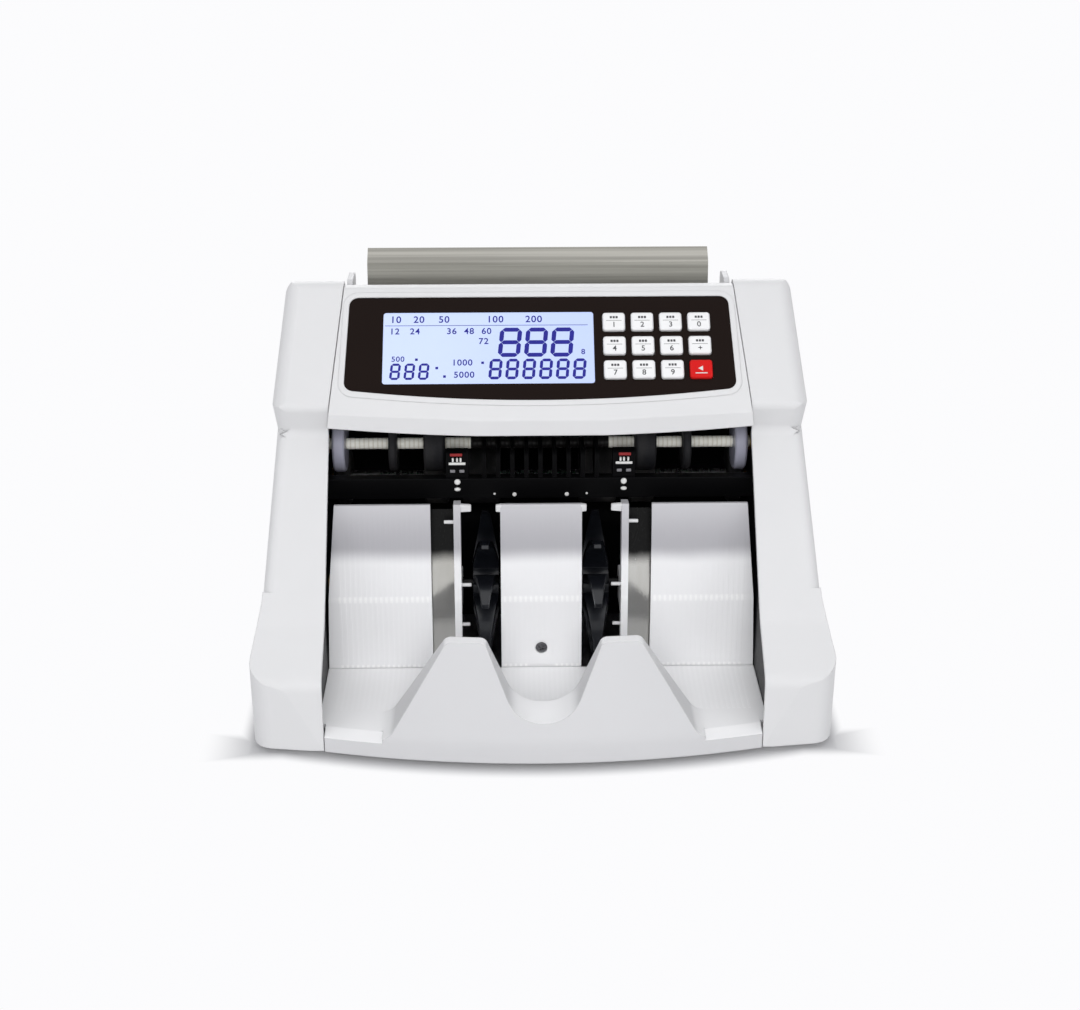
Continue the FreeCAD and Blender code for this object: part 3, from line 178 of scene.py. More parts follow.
def rubber(name, colour, dusty):
    """Ground rubber: a matt grain, greyed in bands by paper dust."""
    material, where = start_finish(name)
    grain = noise(where, 1500.0, 3.0)
    bands = noise(where, 90.0, 4.0, (1.0, 0.25, 0.25))
    dust = (bands + grain * 0.3).step(0.55, 0.85) * dusty
    return end_finish(material, {
        "Base Color": dust.between(colour, paper_dust),
        "Roughness": 0.62 + grain * 0.18 + dust * 0.15,
        "Specular IOR Level": 0.35,
        "Normal": relief(grain + bands, 0.25, 0.0002, eased_edge(where, rubber_edge)),
    })


foot_rubber = rubber("foot_rubber", (0.022, 0.022, 0.023, 1), dusty=0.25)
dress(foot_rubber, "rubber_feet")
roller_rubber = rubber("roller_rubber", (0.014, 0.014, 0.015, 1), dusty=0.18)
dress(roller_rubber, "transport_rollers", "pickup_rollers")
disc_rubber = rubber("disc_rubber", (0.008, 0.008, 0.010, 1), dusty=0.06)
dress(disc_rubber, "pinch_discs")
belt_rubber = rubber("belt_rubber", (0.016, 0.016, 0.017, 1), dusty=0.35)
dress(belt_rubber, "drive_belt", "fan_belt", "pickup_belt")


# Shafts, tie rods and the motor's shaft are centreless-ground steel, with fine rings round them, and the
# fans' shaft is blackened. They run in flanged bushes of oil-soaked sintered brass, pressed into the
# frame plates.
def turned_rings(where):
    """Fine rings round a shaft, which lies along X."""
    return noise(where, 900.0, 2.0, (1.0, 0.02, 0.02))


ring_strength, ring_depth = 0.08, 0.0001
ground_steel, where = start_finish("ground_steel")
rings = turned_rings(where)
oil = noise(where, 60.0, 3.0)
end_finish(ground_steel, {
    "Base Color": (rings * 0.6 + oil * 0.4).between((0.48, 0.48, 0.49, 1), (0.70, 0.70, 0.71, 1)),
    "Metallic": 1.0,
    "Roughness": 0.16 + rings * 0.16 + oil * 0.08,
    "Normal": relief(rings, ring_strength, ring_depth),
})
dress(ground_steel, "transport_shaft", "pickup_shaft", "cross_rods", "motor_pulley")

black_steel, where = start_finish("blackened_steel")
rings = turned_rings(where)
end_finish(black_steel, {
    "Base Color": rings.between((0.012, 0.012, 0.013, 1), (0.035, 0.034, 0.034, 1)),
    "Metallic": 1.0,
    "Roughness": 0.28 + rings * 0.16,
    "Normal": relief(rings, ring_strength, ring_depth),
})
dress(black_steel, "fan_shaft")

bush_brass, where = start_finish("sintered_brass")
pores = noise(where, 1400.0, 3.0)
end_finish(bush_brass, {
    "Base Color": pores.between((0.42, 0.27, 0.10, 1), (0.72, 0.52, 0.24, 1)),
    "Metallic": 1.0,
    "Roughness": 0.34 + pores * 0.2,
    "Normal": relief(pores, 0.3, 0.0001),
})
dress(bush_brass, "shaft_bushes")


# Black mouldings of the note path: pulleys, hopper deck, the sheets before and behind the rollers,
# separator, exit comb and sensor holders. Glass-filled nylon, rough from the mould and oiled.
mould_edge, grain_depth = 0.0009, 0.0001
room_dust = (0.42, 0.41, 0.39, 1)


def mottling(where):
    """Faint uneven tone of a moulding."""
    return noise(where, 24.0, 5.0)


def eroded_grain(where):
    """Grain that a spark-eroded mould leaves."""
    return noise(where, 2300.0)


def axis(where, letter):
    """One coordinate of a place or a direction."""
    return where.node("SeparateXYZ", {}, {0: where}, letter)


def facing(where):
    """Direction of the surface itself."""
    return where.node("NewGeometry", {}, {}, "Normal")


def moulded(name, colour, wear_and_highlight, roughness, grain, dusty=0.0, shine=0.42):
    """Injection-moulded plastic: eroded grain, faint mottle, rubbed edges, dust on upward faces."""
    material, where = start_finish(name)
    mottle = mottling(where)
    edge = eased_edge(where, mould_edge)
    surface = facing(where)
    along = where.node("VectorMath", {"operation": "DOT_PRODUCT"}, {0: edge, 1: surface}, "Value")
    rubbed = (1 - along).step(0.03, 0.22)
    dust = (axis(surface, "Z") * 0.7 + mottle * 0.6).step(0.55, 1.1) * dusty
    shaded = [value * 0.94 for value in colour[:3]] + [1]
    tone = rubbed.between(mottle.between(shaded, colour), wear_and_highlight)
    return end_finish(material, {
        "Base Color": dust.between(tone, room_dust),
        "Roughness": roughness + mottle * 0.08 - rubbed * 0.12 + dust * 0.2,
        "Specular IOR Level": shine,
        "Normal": relief(eroded_grain(where), grain, grain_depth, edge),
    })


black_nylon = moulded("black_nylon", (0.0020, 0.0020, 0.0023, 1), (0.009, 0.009, 0.010, 1),
                      roughness=0.44, grain=0.25, shine=0.05)
dress(black_nylon, "transport_pulleys", "pickup_pulley", "fan_pulley", "hopper_deck", "upper_guide",
      "lower_guide", "separator_block", "exit_comb", "sensor_holders")


# Pinch shaft and its end wheels: a cream acetal sleeve over steel, turned with fine grooves, black between
# the sensors, and grey-violet wheels of a clear urethane pressed onto it.
groove_pitch = 0.0024
sleeve_start, sleeve_fade = 0.0366, 0.0002
cream_acetal, where = start_finish("cream_acetal")
along = axis(where, "X")
wave = where.node("Math", {"operation": "SINE"}, {0: along * (2 * math.pi / groove_pitch)})
groove_and_shade = wave.step(0.2, 0.95)
sleeve = abs(along).step(sleeve_start - sleeve_fade, sleeve_start + sleeve_fade)
stain = noise(where, 120.0, 4.0)
# The grooves are darker in colour as well as in relief: painted shade in them.
cream = (groove_and_shade * 0.75 + stain * 0.25).between((0.97, 0.96, 0.89, 1), (0.78, 0.75, 0.65, 1))
black = stain.between((0.004, 0.004, 0.004, 1), (0.016, 0.015, 0.015, 1))
end_finish(cream_acetal, {
    "Base Color": sleeve.between(black, cream),
    "Roughness": 0.30 + groove_and_shade * 0.2 + stain * 0.08,
    "Specular IOR Level": 0.3,
    "Normal": relief(1 - groove_and_shade, 0.5, 0.0003),
})
dress(cream_acetal, "pinch_shaft")
wheel_urethane = moulded("wheel_urethane", (0.40, 0.40, 0.49, 1), (0.56, 0.56, 0.64, 1),
                         roughness=0.28, grain=0.10)
dress(wheel_urethane, "pinch_end_wheels")


# Stacking fans: soft black rubber moulded with a glossy skin, eight swept fingers on each hub.
# The fingers' flanks are wiped bright by the notes.
finger_edge = 0.0005
fan_rubber, where = start_finish("fan_rubber")
wiped = noise(where, 140.0, 3.0, (0.3, 1.0, 1.0))
flow = noise(where, 700.0, 2.0)
end_finish(fan_rubber, {
    "Base Color": wiped.between((0.003, 0.003, 0.004, 1), (0.008, 0.009, 0.012, 1)),
    "Roughness": 0.24 + wiped * 0.14,
    "Specular IOR Level": 0.25,
    "Coat Weight": 0.3,
    "Coat Tint": (0.80, 0.90, 1.0, 1),
    "Coat Roughness": 0.16,
    "Normal": relief(wiped + flow * 0.3, 0.12, 0.0003, eased_edge(where, finger_edge)),
})
dress(fan_rubber, "stacker_fans")


# Drive motor: a can drawn from steel sheet and nickel plated, with the draw lines running along its axis.
# It is bolted to the inside of the right frame plate.
motor_can, where = start_finish("nickel_plated_can")
draw = noise(where, 420.0, 2.0, (0.04, 1.0, 1.0))
stain = noise(where, 50.0, 4.0)
end_finish(motor_can, {
    "Base Color": (draw * 0.4 + stain * 0.6).between((0.40, 0.39, 0.36, 1), (0.66, 0.65, 0.61, 1)),
    "Metallic": 1.0,
    "Roughness": 0.22 + draw * 0.14 + stain * 0.1,
    "Normal": relief(draw, 0.06, 0.0002),
})
dress(motor_can, "drive_motor")


# Main board and control board: glass laminate with etched copper tracks under a green solder mask, and
# tinned pads. The main board stands on the pan and the control board is behind the keys.
laminate, where = start_finish("solder_mask")
tracks = where.node("TexBrick", {"offset": 0.5, "squash": 0.6},
                    {"Vector": where, "Scale": 260.0, "Mortar Size": 0.035, "Mortar Smooth": 0.2}, "Fac")
pads = where.node("TexVoronoi", {}, {"Vector": where, "Scale": 210.0}).step(0.10, 0.08)
weave = noise(where, 900.0, 2.0)
mask = tracks.between((0.012, 0.115, 0.042, 1), (0.030, 0.190, 0.070, 1))
end_finish(laminate, {
    "Base Color": pads.between(mask, (0.58, 0.56, 0.50, 1)),
    "Metallic": pads * 0.9,
    "Roughness": 0.34 + weave * 0.1 - pads * 0.1,
    "Normal": relief(tracks + pads, 0.3, 0.0001),
})
dress(laminate, "control_board", "main_board")


# Rear cover, side covers, control head and tray: one white styrene moulding material, with a fine eroded
# grain, a barely uneven tone and edges polished by hands. On the tray, faces turned up are painted lighter
# and
# the other faces darker: painted light and shade.
styrene_shine = 0.42
white_styrene = moulded("white_styrene", (0.72, 0.72, 0.725, 1), (0.77, 0.77, 0.773, 1),
                        roughness=0.34, grain=0.08, shine=styrene_shine)
dress(white_styrene, "left_side_cover", "right_side_cover", "rear_cover", "control_head")

tray_painted_light, where = start_finish("tray_painted_light")
mottle = mottling(where)
# Painted light and shade: faces turned up are painted lighter, the others darker.
upward = axis(facing(where), "Z").step(0.35, 0.85)
end_finish(tray_painted_light, {
    "Base Color": (upward + mottle * 0.1).between((0.61, 0.61, 0.62, 1), (0.91, 0.91, 0.915, 1)),
    "Roughness": 0.34 + mottle * 0.08,
    "Specular IOR Level": styrene_shine,
    "Normal": relief(eroded_grain(where), 0.08, grain_depth, eased_edge(where, mould_edge)),
})
dress(tray_painted_light, "stacker_tray")


# Backstop: white styrene panels, painted darker towards the wheels above them, a painted shadow of the
# control head. Fine ribs on the panels and along the tray's floor are moulded with them so that notes don't
# cling. The panels' ribs follow the bend at the ridge, and painted highlights lie along the ridge and along
# the panels' bottom edge.
def only(piece):
    """Leave one piece selected and active."""
    bpy.ops.object.select_all(action="DESELECT")
    piece.select_set(True)
    bpy.context.view_layer.objects.active = piece


def block(place, size):
    """A block to model from, at its place and size."""
    bpy.ops.object.select_all(action="DESELECT")
    bpy.ops.mesh.primitive_cube_add(size=1.0, location=place)
    bpy.context.object.scale = size
    bpy.ops.object.transform_apply()
    return bpy.context.object


def pick(piece, direction):
    """Open a piece in edit mode, with only the faces selected that point in a direction."""
    only(piece)
    bpy.context.tool_settings.mesh_select_mode = (False, False, True)
    mesh = piece.data
    for parts in (mesh.vertices, mesh.edges, mesh.polygons):
        parts.foreach_set("select", [False] * len(parts))
    for face in mesh.polygons:
        face.select = face.normal.dot(Vector(direction)) > 0.9
    bpy.ops.object.mode_set(mode="EDIT")


def modified(piece, kind, **settings):
    """Add a modifier to a piece and apply it."""
    only(piece)
    modifier = piece.modifiers.new("step", kind)
    for name, value in settings.items():
        setattr(modifier, name, value)
    bpy.ops.object.modifier_apply(modifier=modifier.name)
    return piece


def softened(piece, width, segments=2):
    """Round the sharp edges of a piece."""
    return modified(piece, "BEVEL", width=width, segments=segments,
                    limit_method="ANGLE", angle_limit=math.radians(40))


def joined(pieces):
    """Make one piece of several."""
    only(pieces[0])
    for piece in pieces:
        piece.select_set(True)
    bpy.ops.object.join()
    return bpy.context.object


def repeated(piece, steps):
    """Copies of a piece, each with its own mesh and moved by a step, joined in place of the piece."""
    copies = []
    for step in steps:
        copy = piece.copy()
        copy.data = piece.data.copy()
        copy.data.transform(Matrix.Translation(step))
        bpy.context.scene.collection.objects.link(copy)
        copies.append(copy)
    bpy.data.objects.remove(piece)
    return joined(copies)


def settle(piece, name, material, body):
    """Name a finished piece, give it its finish and let it ride on a body."""
    piece.name = name
    piece.data.materials.clear()
    piece.data.materials.append(material)
    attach(piece, body)


backstop_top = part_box("stacker_back")[1].z
tray_floor = 0.013
ridge_y, ridge_z = -0.0425, 0.052
top_y, foot_y = -0.0335, -0.0450
# Heights over which the painted shadow of the control head fades in on the backstop, and where it eases off
# again at the very top.
head_shadow_low, head_shadow_full = 0.0720, 0.0820
shadow_ease_low, shadow_ease_full = 0.080, 0.110


def backstop_styrene(name, wear_and_highlight):
    """White styrene with a painted shadow of the control head towards its top, and painted highlights at the
    ridge and along the bottom edge.
    """
    material, where = start_finish(name)
    height = axis(where, "Z")
    mottle = mottling(where)
    # The painted shadow eases off again near the very top.
    shadow_eased = height.step(shadow_ease_low, shadow_ease_full) * 0.35
    # This mask is a painted shadow of the control head, darkening the upper backstop.
    dust = (height + mottle * 0.004).step(head_shadow_low, head_shadow_full) * (1.0 - shadow_eased)
    below = height.step(ridge_z - 0.0024, ridge_z - 0.0006)
    above = height.step(ridge_z + 0.0022, ridge_z + 0.0006)
    # Painted highlights: bright lines along the ridge and along the bottom edge.
    crest_highlight = below * above
    foot_highlight = height.step(tray_floor + 0.0022, tray_floor + 0.0008)
    unshadowed = mottle.between((0.84, 0.84, 0.85, 1), (0.88, 0.88, 0.89, 1))
    # The grey of the painted shadow, laid over the unshadowed white.
    greyed = dust.between(unshadowed, (0.43, 0.425, 0.45, 1))
    return end_finish(material, {
        # The ridge and bottom-edge masks paint these highlights white, at the strength of the second
        # argument.
        "Base Color": ((crest_highlight + foot_highlight) * wear_and_highlight).between(greyed, (0.99, 0.99, 0.99, 1)),
        "Roughness": 0.38 + mottle * 0.08 - crest_highlight * 0.2 * wear_and_highlight,
        "Specular IOR Level": styrene_shine,
        "Normal": relief(eroded_grain(where), 0.1, grain_depth),
    })


# Panels: the painted shadow and a fifth of the painted highlights.
dress(backstop_styrene("backstop_styrene", wear_and_highlight=0.2), "stacker_back")

rib_width, rib_proud, rib_pitch = 0.0013, 0.00007, 0.0027
rib_edge, rib_short = 0.00005, 0.0004
panel_start, panel_count, middle_count = 0.0590, 18, 15
boss_half, boss_top = 0.0064, 0.0285


def upright_rib(low):
    """One rib of the backstop, from a height up to the panel's top, bent at the ridge."""
    rib = block((0, ridge_y, (low + ridge_z) / 2), (rib_width, 2 * rib_proud, ridge_z - low))
    pick(rib, (0, 0, 1))
    to_top = (0, top_y - ridge_y, backstop_top - rib_short - ridge_z)
    bpy.ops.mesh.extrude_region_move(TRANSFORM_OT_translate={"value": to_top})
    bpy.ops.object.mode_set(mode="OBJECT")
    pick(rib, (0, 0, -1))
    lean = (foot_y - ridge_y) * (ridge_z - low) / (ridge_z - tray_floor)
    bpy.ops.transform.translate(value=(0, lean, 0))
    bpy.ops.object.mode_set(mode="OBJECT")
    return softened(rib, rib_edge)


panel_places = [panel_start + index * rib_pitch for index in range(panel_count)]
side_places = [side * x for x in panel_places for side in (-1, 1)]
middle_places = [(index - middle_count // 2) * rib_pitch for index in range(middle_count)]
side_ribs = repeated(upright_rib(tray_floor), [(x, 0, 0) for x in side_places])
outer_ribs = repeated(upright_rib(tray_floor), [(x, 0, 0) for x in middle_places if abs(x) > boss_half])
inner_ribs = repeated(upright_rib(boss_top), [(x, 0, 0) for x in middle_places if abs(x) < boss_half])
# Ribs: the painted shadow and the full painted highlights.
rib_highlight_styrene = backstop_styrene("rib_highlight_styrene", wear_and_highlight=1.0)
backstop_ribs = joined([side_ribs, outer_ribs, inner_ribs])
settle(backstop_ribs, "backstop_ribs", rib_highlight_styrene, "housing")

floor_rib_y, floor_rib_length = -0.0675, 0.0420
floor_rib_height, floor_rib_edge = 0.0001, 0.00004
floor_rib = block((0, floor_rib_y, tray_floor), (rib_width, floor_rib_length, floor_rib_height))
tray_ribs = repeated(softened(floor_rib, floor_rib_edge), [(x, 0, 0) for x in middle_places + side_places])
floor_styrene, where = start_finish("floor_styrene")
mottle = mottling(where)
end_finish(floor_styrene, {
    "Base Color": mottle.between((0.91, 0.91, 0.915, 1), (0.94, 0.94, 0.945, 1)),
    "Roughness": 0.36 + mottle * 0.08,
    "Specular IOR Level": styrene_shine,
})
settle(tray_ribs, "tray_ribs", floor_styrene, "housing")


# Pegs and tabs of the backstop: short round pegs either side of its narrow strips, and flat tabs at the top
# of the strips and of the middle panel that keep notes away from the fans. Moulded in one with them.
along_x = (0, math.pi / 2, 0)
strip_in, strip_out = 0.0415, 0.0451
peg_rows = ((strip_out, 0.0497, -0.0328, 0.0920),
            (0.0367, strip_in, -0.0388, 0.0586),
            (0.0377, strip_in, -0.0410, 0.0365))
peg_radius, peg_sunk, peg_edge = 0.00095, 0.0008, 0.0003
tab_rows = ((0.0389, -0.0322, 0.0058, -1), (0.0218, -0.0326, 0.0032, 1))
tab_z, tab_depth, tab_height = 0.0997, 0.0024, 0.0044
tab_taper, tab_edge = 0.8, 0.0005


def rod(place, radius, length, turn, sides=24, squeeze=1.0):
    """A round rod to model from, at its place and turn, made oval by a squeeze."""
    bpy.ops.object.select_all(action="DESELECT")
    bpy.ops.mesh.primitive_cylinder_add(vertices=sides, radius=radius, depth=length,
                                        location=place, rotation=turn)
    bpy.context.object.scale = (1.0, squeeze, 1.0)
    bpy.ops.object.transform_apply()
    return bpy.context.object


pegs = []
for side in (-1, 1):
    for near, far, y, z in peg_rows:
        peg_place = (side * (near + far) / 2, y, z)
        peg = rod(peg_place, peg_radius, far - near + peg_sunk, along_x, sides=20)
        pegs.append(softened(peg, peg_edge))
    for x, y, width, outer in tab_rows:
        tab = block((side * x, y, tab_z), (width, tab_depth, tab_height))
        pick(tab, (side * outer, 0, 0))
        bpy.ops.transform.resize(value=(1, 1, tab_taper))
        bpy.ops.object.mode_set(mode="OBJECT")
        pegs.append(softened(tab, tab_edge))
settle(joined(pegs), "strip_pegs", white_styrene, "housing")


# Mains inlet and switch: a black moulded inlet module with three plated pins, set into the rear cover, and
# the rocker of the switch above it, with its two marks printed in white.
inlet_black = moulded("inlet_black", (0.020, 0.020, 0.021, 1), (0.055, 0.055, 0.057, 1),
                      roughness=0.36, grain=0.15, dusty=0.05)
dress(inlet_black, "power_inlet", "power_rocker")

plated_pin, where = start_finish("nickel_plated_pin")
drawn = noise(where, 700.0, 2.0, (1.0, 0.05, 1.0))
end_finish(plated_pin, {
    "Base Color": drawn.between((0.55, 0.53, 0.48, 1), (0.78, 0.76, 0.71, 1)),
    "Metallic": 1.0,
    "Roughness": 0.18 + drawn * 0.16,
    "Normal": relief(drawn, 0.08, 0.0001),
})
inlet_low, inlet_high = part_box("power_inlet")
inlet_x = (inlet_low.x + inlet_high.x) / 2
pin_places = ((-0.007, 0.0310), (0.0, 0.0355), (0.007, 0.0310))
pin_y, pin_size = 0.1110, (0.0021, 0.0110, 0.0041)
pin_tip, tip_taper, pin_edge = 0.0008, (0.5, 1, 0.7), 0.0002
pins = []
for x, z in pin_places:
    pin = block((inlet_x + x, pin_y, z), pin_size)
    pick(pin, (0, 1, 0))
    bpy.ops.mesh.extrude_region_move(TRANSFORM_OT_translate={"value": (0, pin_tip, 0)})
    bpy.ops.transform.resize(value=tip_taper)
    bpy.ops.object.mode_set(mode="OBJECT")
    pins.append(softened(pin, pin_edge))
settle(joined(pins), "inlet_pins", plated_pin, "housing")

along_y = (math.pi / 2, 0, 0)
mark_paint = moulded("mark_paint", (0.80, 0.80, 0.78, 1), (0.70, 0.70, 0.68, 1), roughness=0.45, grain=0.10)
rocker_low, rocker_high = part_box("power_rocker")
rocker_y, rocker_tilt = 0.1180, math.radians(9)
mark_out, mark_up, mark_lean = 0.00292, 0.005, math.radians(10)
on_size, on_edge = (0.0007, 0.0001, 0.0034), 0.00003
ring_radius, ring_stroke, ring_flat = 0.0016, 0.00034, 0.2
on_mark = softened(block((0, 0, 0), on_size), on_edge, 1)
bpy.ops.object.select_all(action="DESELECT")
bpy.ops.mesh.primitive_torus_add(major_radius=ring_radius, minor_radius=ring_stroke,
                                 major_segments=40, minor_segments=8, rotation=along_y)
bpy.ops.object.transform_apply()
off_mark = bpy.context.object
bpy.ops.object.mode_set(mode="EDIT")
bpy.ops.mesh.select_all(action="SELECT")
bpy.ops.transform.resize(value=(1, ring_flat, 1))
bpy.ops.object.mode_set(mode="OBJECT")
rocker_place = Matrix.Translation((inlet_x, rocker_y, (rocker_low.z + rocker_high.z) / 2))
rocker_turn = Matrix.Rotation(rocker_tilt, 4, "X")
for mark, end in ((on_mark, 1), (off_mark, -1)):
    on_face = Matrix.Translation((0, mark_out, end * mark_up)) @ Matrix.Rotation(-end * mark_lean, 4, "X")
    mark.data.transform(rocker_place @ rocker_turn @ on_face)
settle(joined([on_mark, off_mark]), "rocker_marks", mark_paint, "rocker")


# Hopper back plate and the two chute guides: stainless sheet, bare. The plate is brushed along its width,
# and its brush lines catch the light; its top hem, above the rim line, is painted darker, a painted
# reflection.
# The guides are polished by the notes that slide down them, and above that they are painted near-black and
# dull, a painted shadow of the control head.
rim_low, rim_high = 0.2000, 0.2020
brushed_steel, where = start_finish("brushed_stainless")
lines = noise(where, 1400.0, 3.0, (0.012, 1.0, 1.0))
bands = noise(where, 330.0, 3.0, (0.006, 1.0, 1.0)).step(0.34, 0.66)
smear = noise(where, 30.0, 4.0, (0.4, 1.0, 1.0))
brush = lines * 0.4 + bands * 0.4 + smear * 0.2
bright = brush.between((0.19, 0.187, 0.165, 1), (0.52, 0.51, 0.46, 1))
# Darker copy of the steel colour for the top hem above the rim line: a painted reflection.
dim_hem_reflection = brush.between((0.13, 0.128, 0.115, 1), (0.38, 0.37, 0.34, 1))
end_finish(brushed_steel, {
    "Base Color": axis(where, "Z").step(rim_low, rim_high).between(bright, dim_hem_reflection),
    "Metallic": 1.0,
    "Roughness": 0.22 + lines * 0.18 + smear * 0.08,
    "Normal": relief(lines, 0.2, 0.0001),
})
dress(brushed_steel, "hopper_back_plate")

# Heights where the painted shadow of the control head begins on the guides.
chute_shadow_low, chute_shadow_full = 0.0690, 0.0770
polished_steel, where = start_finish("polished_stainless")
haze = noise(where, 60.0, 4.0, (1.0, 1.0, 0.15))
rubs = noise(where, 1100.0, 2.0, (1.0, 1.0, 0.02)).step(0.55, 0.75)
# Above these heights the guides are painted near-black and dull: a painted shadow of the control head.
chute_shadow = (axis(where, "Z") + haze * 0.006).step(chute_shadow_low, chute_shadow_full)
unshadowed = haze.between((0.40, 0.39, 0.35, 1), (0.68, 0.68, 0.67, 1))
end_finish(polished_steel, {
    "Base Color": chute_shadow.between(unshadowed, (0.008, 0.008, 0.008, 1)),
    "Metallic": 1.0 - chute_shadow * 0.95,
    "Specular IOR Level": 0.10,
    "Roughness": 0.09 + haze * 0.10 + rubs * 0.08 + chute_shadow * 0.12,
    "Normal": relief(haze + rubs * 0.3, 0.06, 0.0004),
})
dress(polished_steel, "stacker_chute")


# Note guides: pale grey acetal fins, moulded in one piece each, that are set to the width of the notes.
# They slide on the rod behind the hopper.
guide_acetal = moulded("guide_acetal", (0.62, 0.62, 0.63, 1), (0.70, 0.70, 0.71, 1),
                       roughness=0.36, grain=0.10)
dress(guide_acetal, "left_note_guide", "right_note_guide")


# Face panel: polycarbonate sheet, printed near-black from behind and glued into the head's recess.
# The front keeps the sheet's fine velvet grain.
panel_ink, where = start_finish("printed_face")
velvet = noise(where, 3200.0, 2.0)
cloud = noise(where, 18.0, 3.0)
end_finish(panel_ink, {
    "Base Color": cloud.between((0.0088, 0.0050, 0.0040, 1), (0.0115, 0.0070, 0.0058, 1)),
    "Roughness": 0.46 + velvet * 0.12 + cloud * 0.06,
    "Specular IOR Level": 0.05,
    "Normal": relief(velvet, 0.10, 0.0001),
})
dress(panel_ink, "face_panel")


# Display: a clear lens over a pale blue backlit liquid crystal, seated on the module behind it.
# The light is a little stronger towards the left, where the lamp sits.
dim_x, bright_x = 0.03, -0.085
lens, where = start_finish("backlit_lens")
glow = axis(where, "X").step(dim_x, bright_x) * 0.6 + noise(where, 25.0, 3.0) * 0.4
end_finish(lens, {
    "Base Color": glow.between((0.21, 0.26, 0.35, 1), (0.26, 0.31, 0.38, 1)),
    "Roughness": 0.14 + noise(where, 120.0, 3.0) * 0.06,
    "Emission Color": glow.between((0.35, 0.41, 0.68, 1), (0.41, 0.47, 0.71, 1)),
    "Emission Strength": 1.0,
    "Specular IOR Level": 0.3,
})
dress(lens, "display_window")
module_frame = moulded("module_frame", (0.10, 0.10, 0.105, 1), (0.16, 0.16, 0.165, 1),
                       roughness=0.45, grain=0.10)
dress(module_frame, "display_module")


# Marks of the display: dark blue liquid crystal, a thin film at the face of the lens. Three large and nine
# small seven-bar figures are all lit, with rows of plain numbers and dots, and a thin rule under the top row.
panel_top = (0, 0.0305, 0.197)
panel_tilt = math.radians(42)
panel_place = Matrix.Translation(panel_top) @ Matrix.Rotation(panel_tilt, 4, "X")
film = 0.00006
lens_top = -0.00029
bar_inset, bar_corner = 0.12, 0.2
figure_slant, segment_tip, segment_gap = 0.09, 0.08, 0.16
slant = Matrix(((1, figure_slant, 0, 0), (0, 1, 0, 0), (0, 0, 1, 0), (0, 0, 0, 1)))


def flat_bar(x, t, width, height, lift):
    """Printed bar with round corners, its middle x across the panel and t below its top edge."""
    bar = block((x, -t, lift + film / 2), (width, height, film))
    pick(bar, (0, 0, 1))
    bpy.ops.mesh.inset(thickness=min(width, height) * bar_inset)
    bpy.ops.object.mode_set(mode="OBJECT")
    return softened(bar, min(width, height) * bar_corner)


def figures(text, size, x, t, lift, weight=0.012):
    """Plain numbers or signs as a thin film, centred at x across the panel and t below its top edge."""
    bpy.ops.object.select_all(action="DESELECT")
    bpy.ops.object.text_add()
    curve = bpy.context.object.data
    curve.body = text
    curve.size = size
    curve.align_x = "CENTER"
    curve.align_y = "CENTER"
    curve.offset = size * weight
    curve.space_character = 1.12
    curve.extrude = film / 2
    bpy.ops.object.convert(target="MESH")
    bpy.context.object.data.transform(Matrix.Translation((x, -t, lift + film / 2)))
    return bpy.context.object


def lit_segment(length, width):
    """One bar of a seven-bar figure, along X, with pointed ends."""
    segment = block((0, 0, film / 2), (length - width, width, film))
    for side in (-1, 1):
        pick(segment, (side, 0, 0))
        bpy.ops.mesh.extrude_region_move(TRANSFORM_OT_translate={"value": (side * width / 2, 0, 0)})
        bpy.ops.transform.resize(value=(1, segment_tip, 1))
        bpy.ops.object.mode_set(mode="OBJECT")
    return segment


def seven_bars(width, height, stroke):
    """One lit seven-bar figure, centred and slanted."""
    gap = stroke * segment_gap
    tall = (height - stroke) / 2
    wide = width - stroke
    level = repeated(lit_segment(wide - gap, stroke), [(0, step * tall, 0) for step in (-1, 0, 1)])
    upright = lit_segment(tall - gap, stroke)
    upright.data.transform(Matrix.Rotation(math.pi / 2, 4, "Z"))
    corners = [(across * wide / 2, up * tall / 2, 0) for across in (-1, 1) for up in (-1, 1)]
    figure = joined([level, repeated(upright, corners)])
    figure.data.transform(slant)
    return figure


lcd_blue, where = start_finish("lcd_blue")
depth = noise(where, 300.0, 3.0)
end_finish(lcd_blue, {
    "Base Color": depth.between((0.010, 0.010, 0.20, 1), (0.018, 0.018, 0.30, 1)),
    "Roughness": 0.30 + depth * 0.1,
    "Specular IOR Level": 0.2,
})
millimetre = 0.001
figure_gap, strokes_high = 2.0, 7.4
figure_groups = ((3, -21.1, 17.4, 23.3, 40.3), (6, -26.2, 23.6, 41.4, 53.2), (3, -77.0, -57.0, 43.8, 53.2))
plain_numbers = (
    (10, 5.4, -74.5, 18.4), (20, 5.4, -62.5, 18.4), (50, 5.4, -49.5, 18.4), (100, 5.4, -23.0, 18.4),
    (200, 5.4, -3.0, 18.4), (12, 4.9, -75.0, 25.3), (24, 4.9, -64.5, 25.3), (36, 4.9, -45.5, 25.3),
    (48, 4.9, -36.5, 25.3), (60, 4.9, -27.5, 25.3), (72, 4.9, -29.0, 31.2), (500, 4.2, -73.0, 41.4),
    (1000, 4.9, -40.0, 43.6), (5000, 4.9, -39.0, 50.6), (8, 4.2, 22.3, 37.6))
dot_places = ((-63.5, 41.6), (-29.5, 43.6), (-49.0, 51.4), (-53.0, 46.5))
dot_size = 1.4
rule_x, rule_t, rule_width, rule_height = -27.5, 21.8, 105.0, 0.3
marks = []
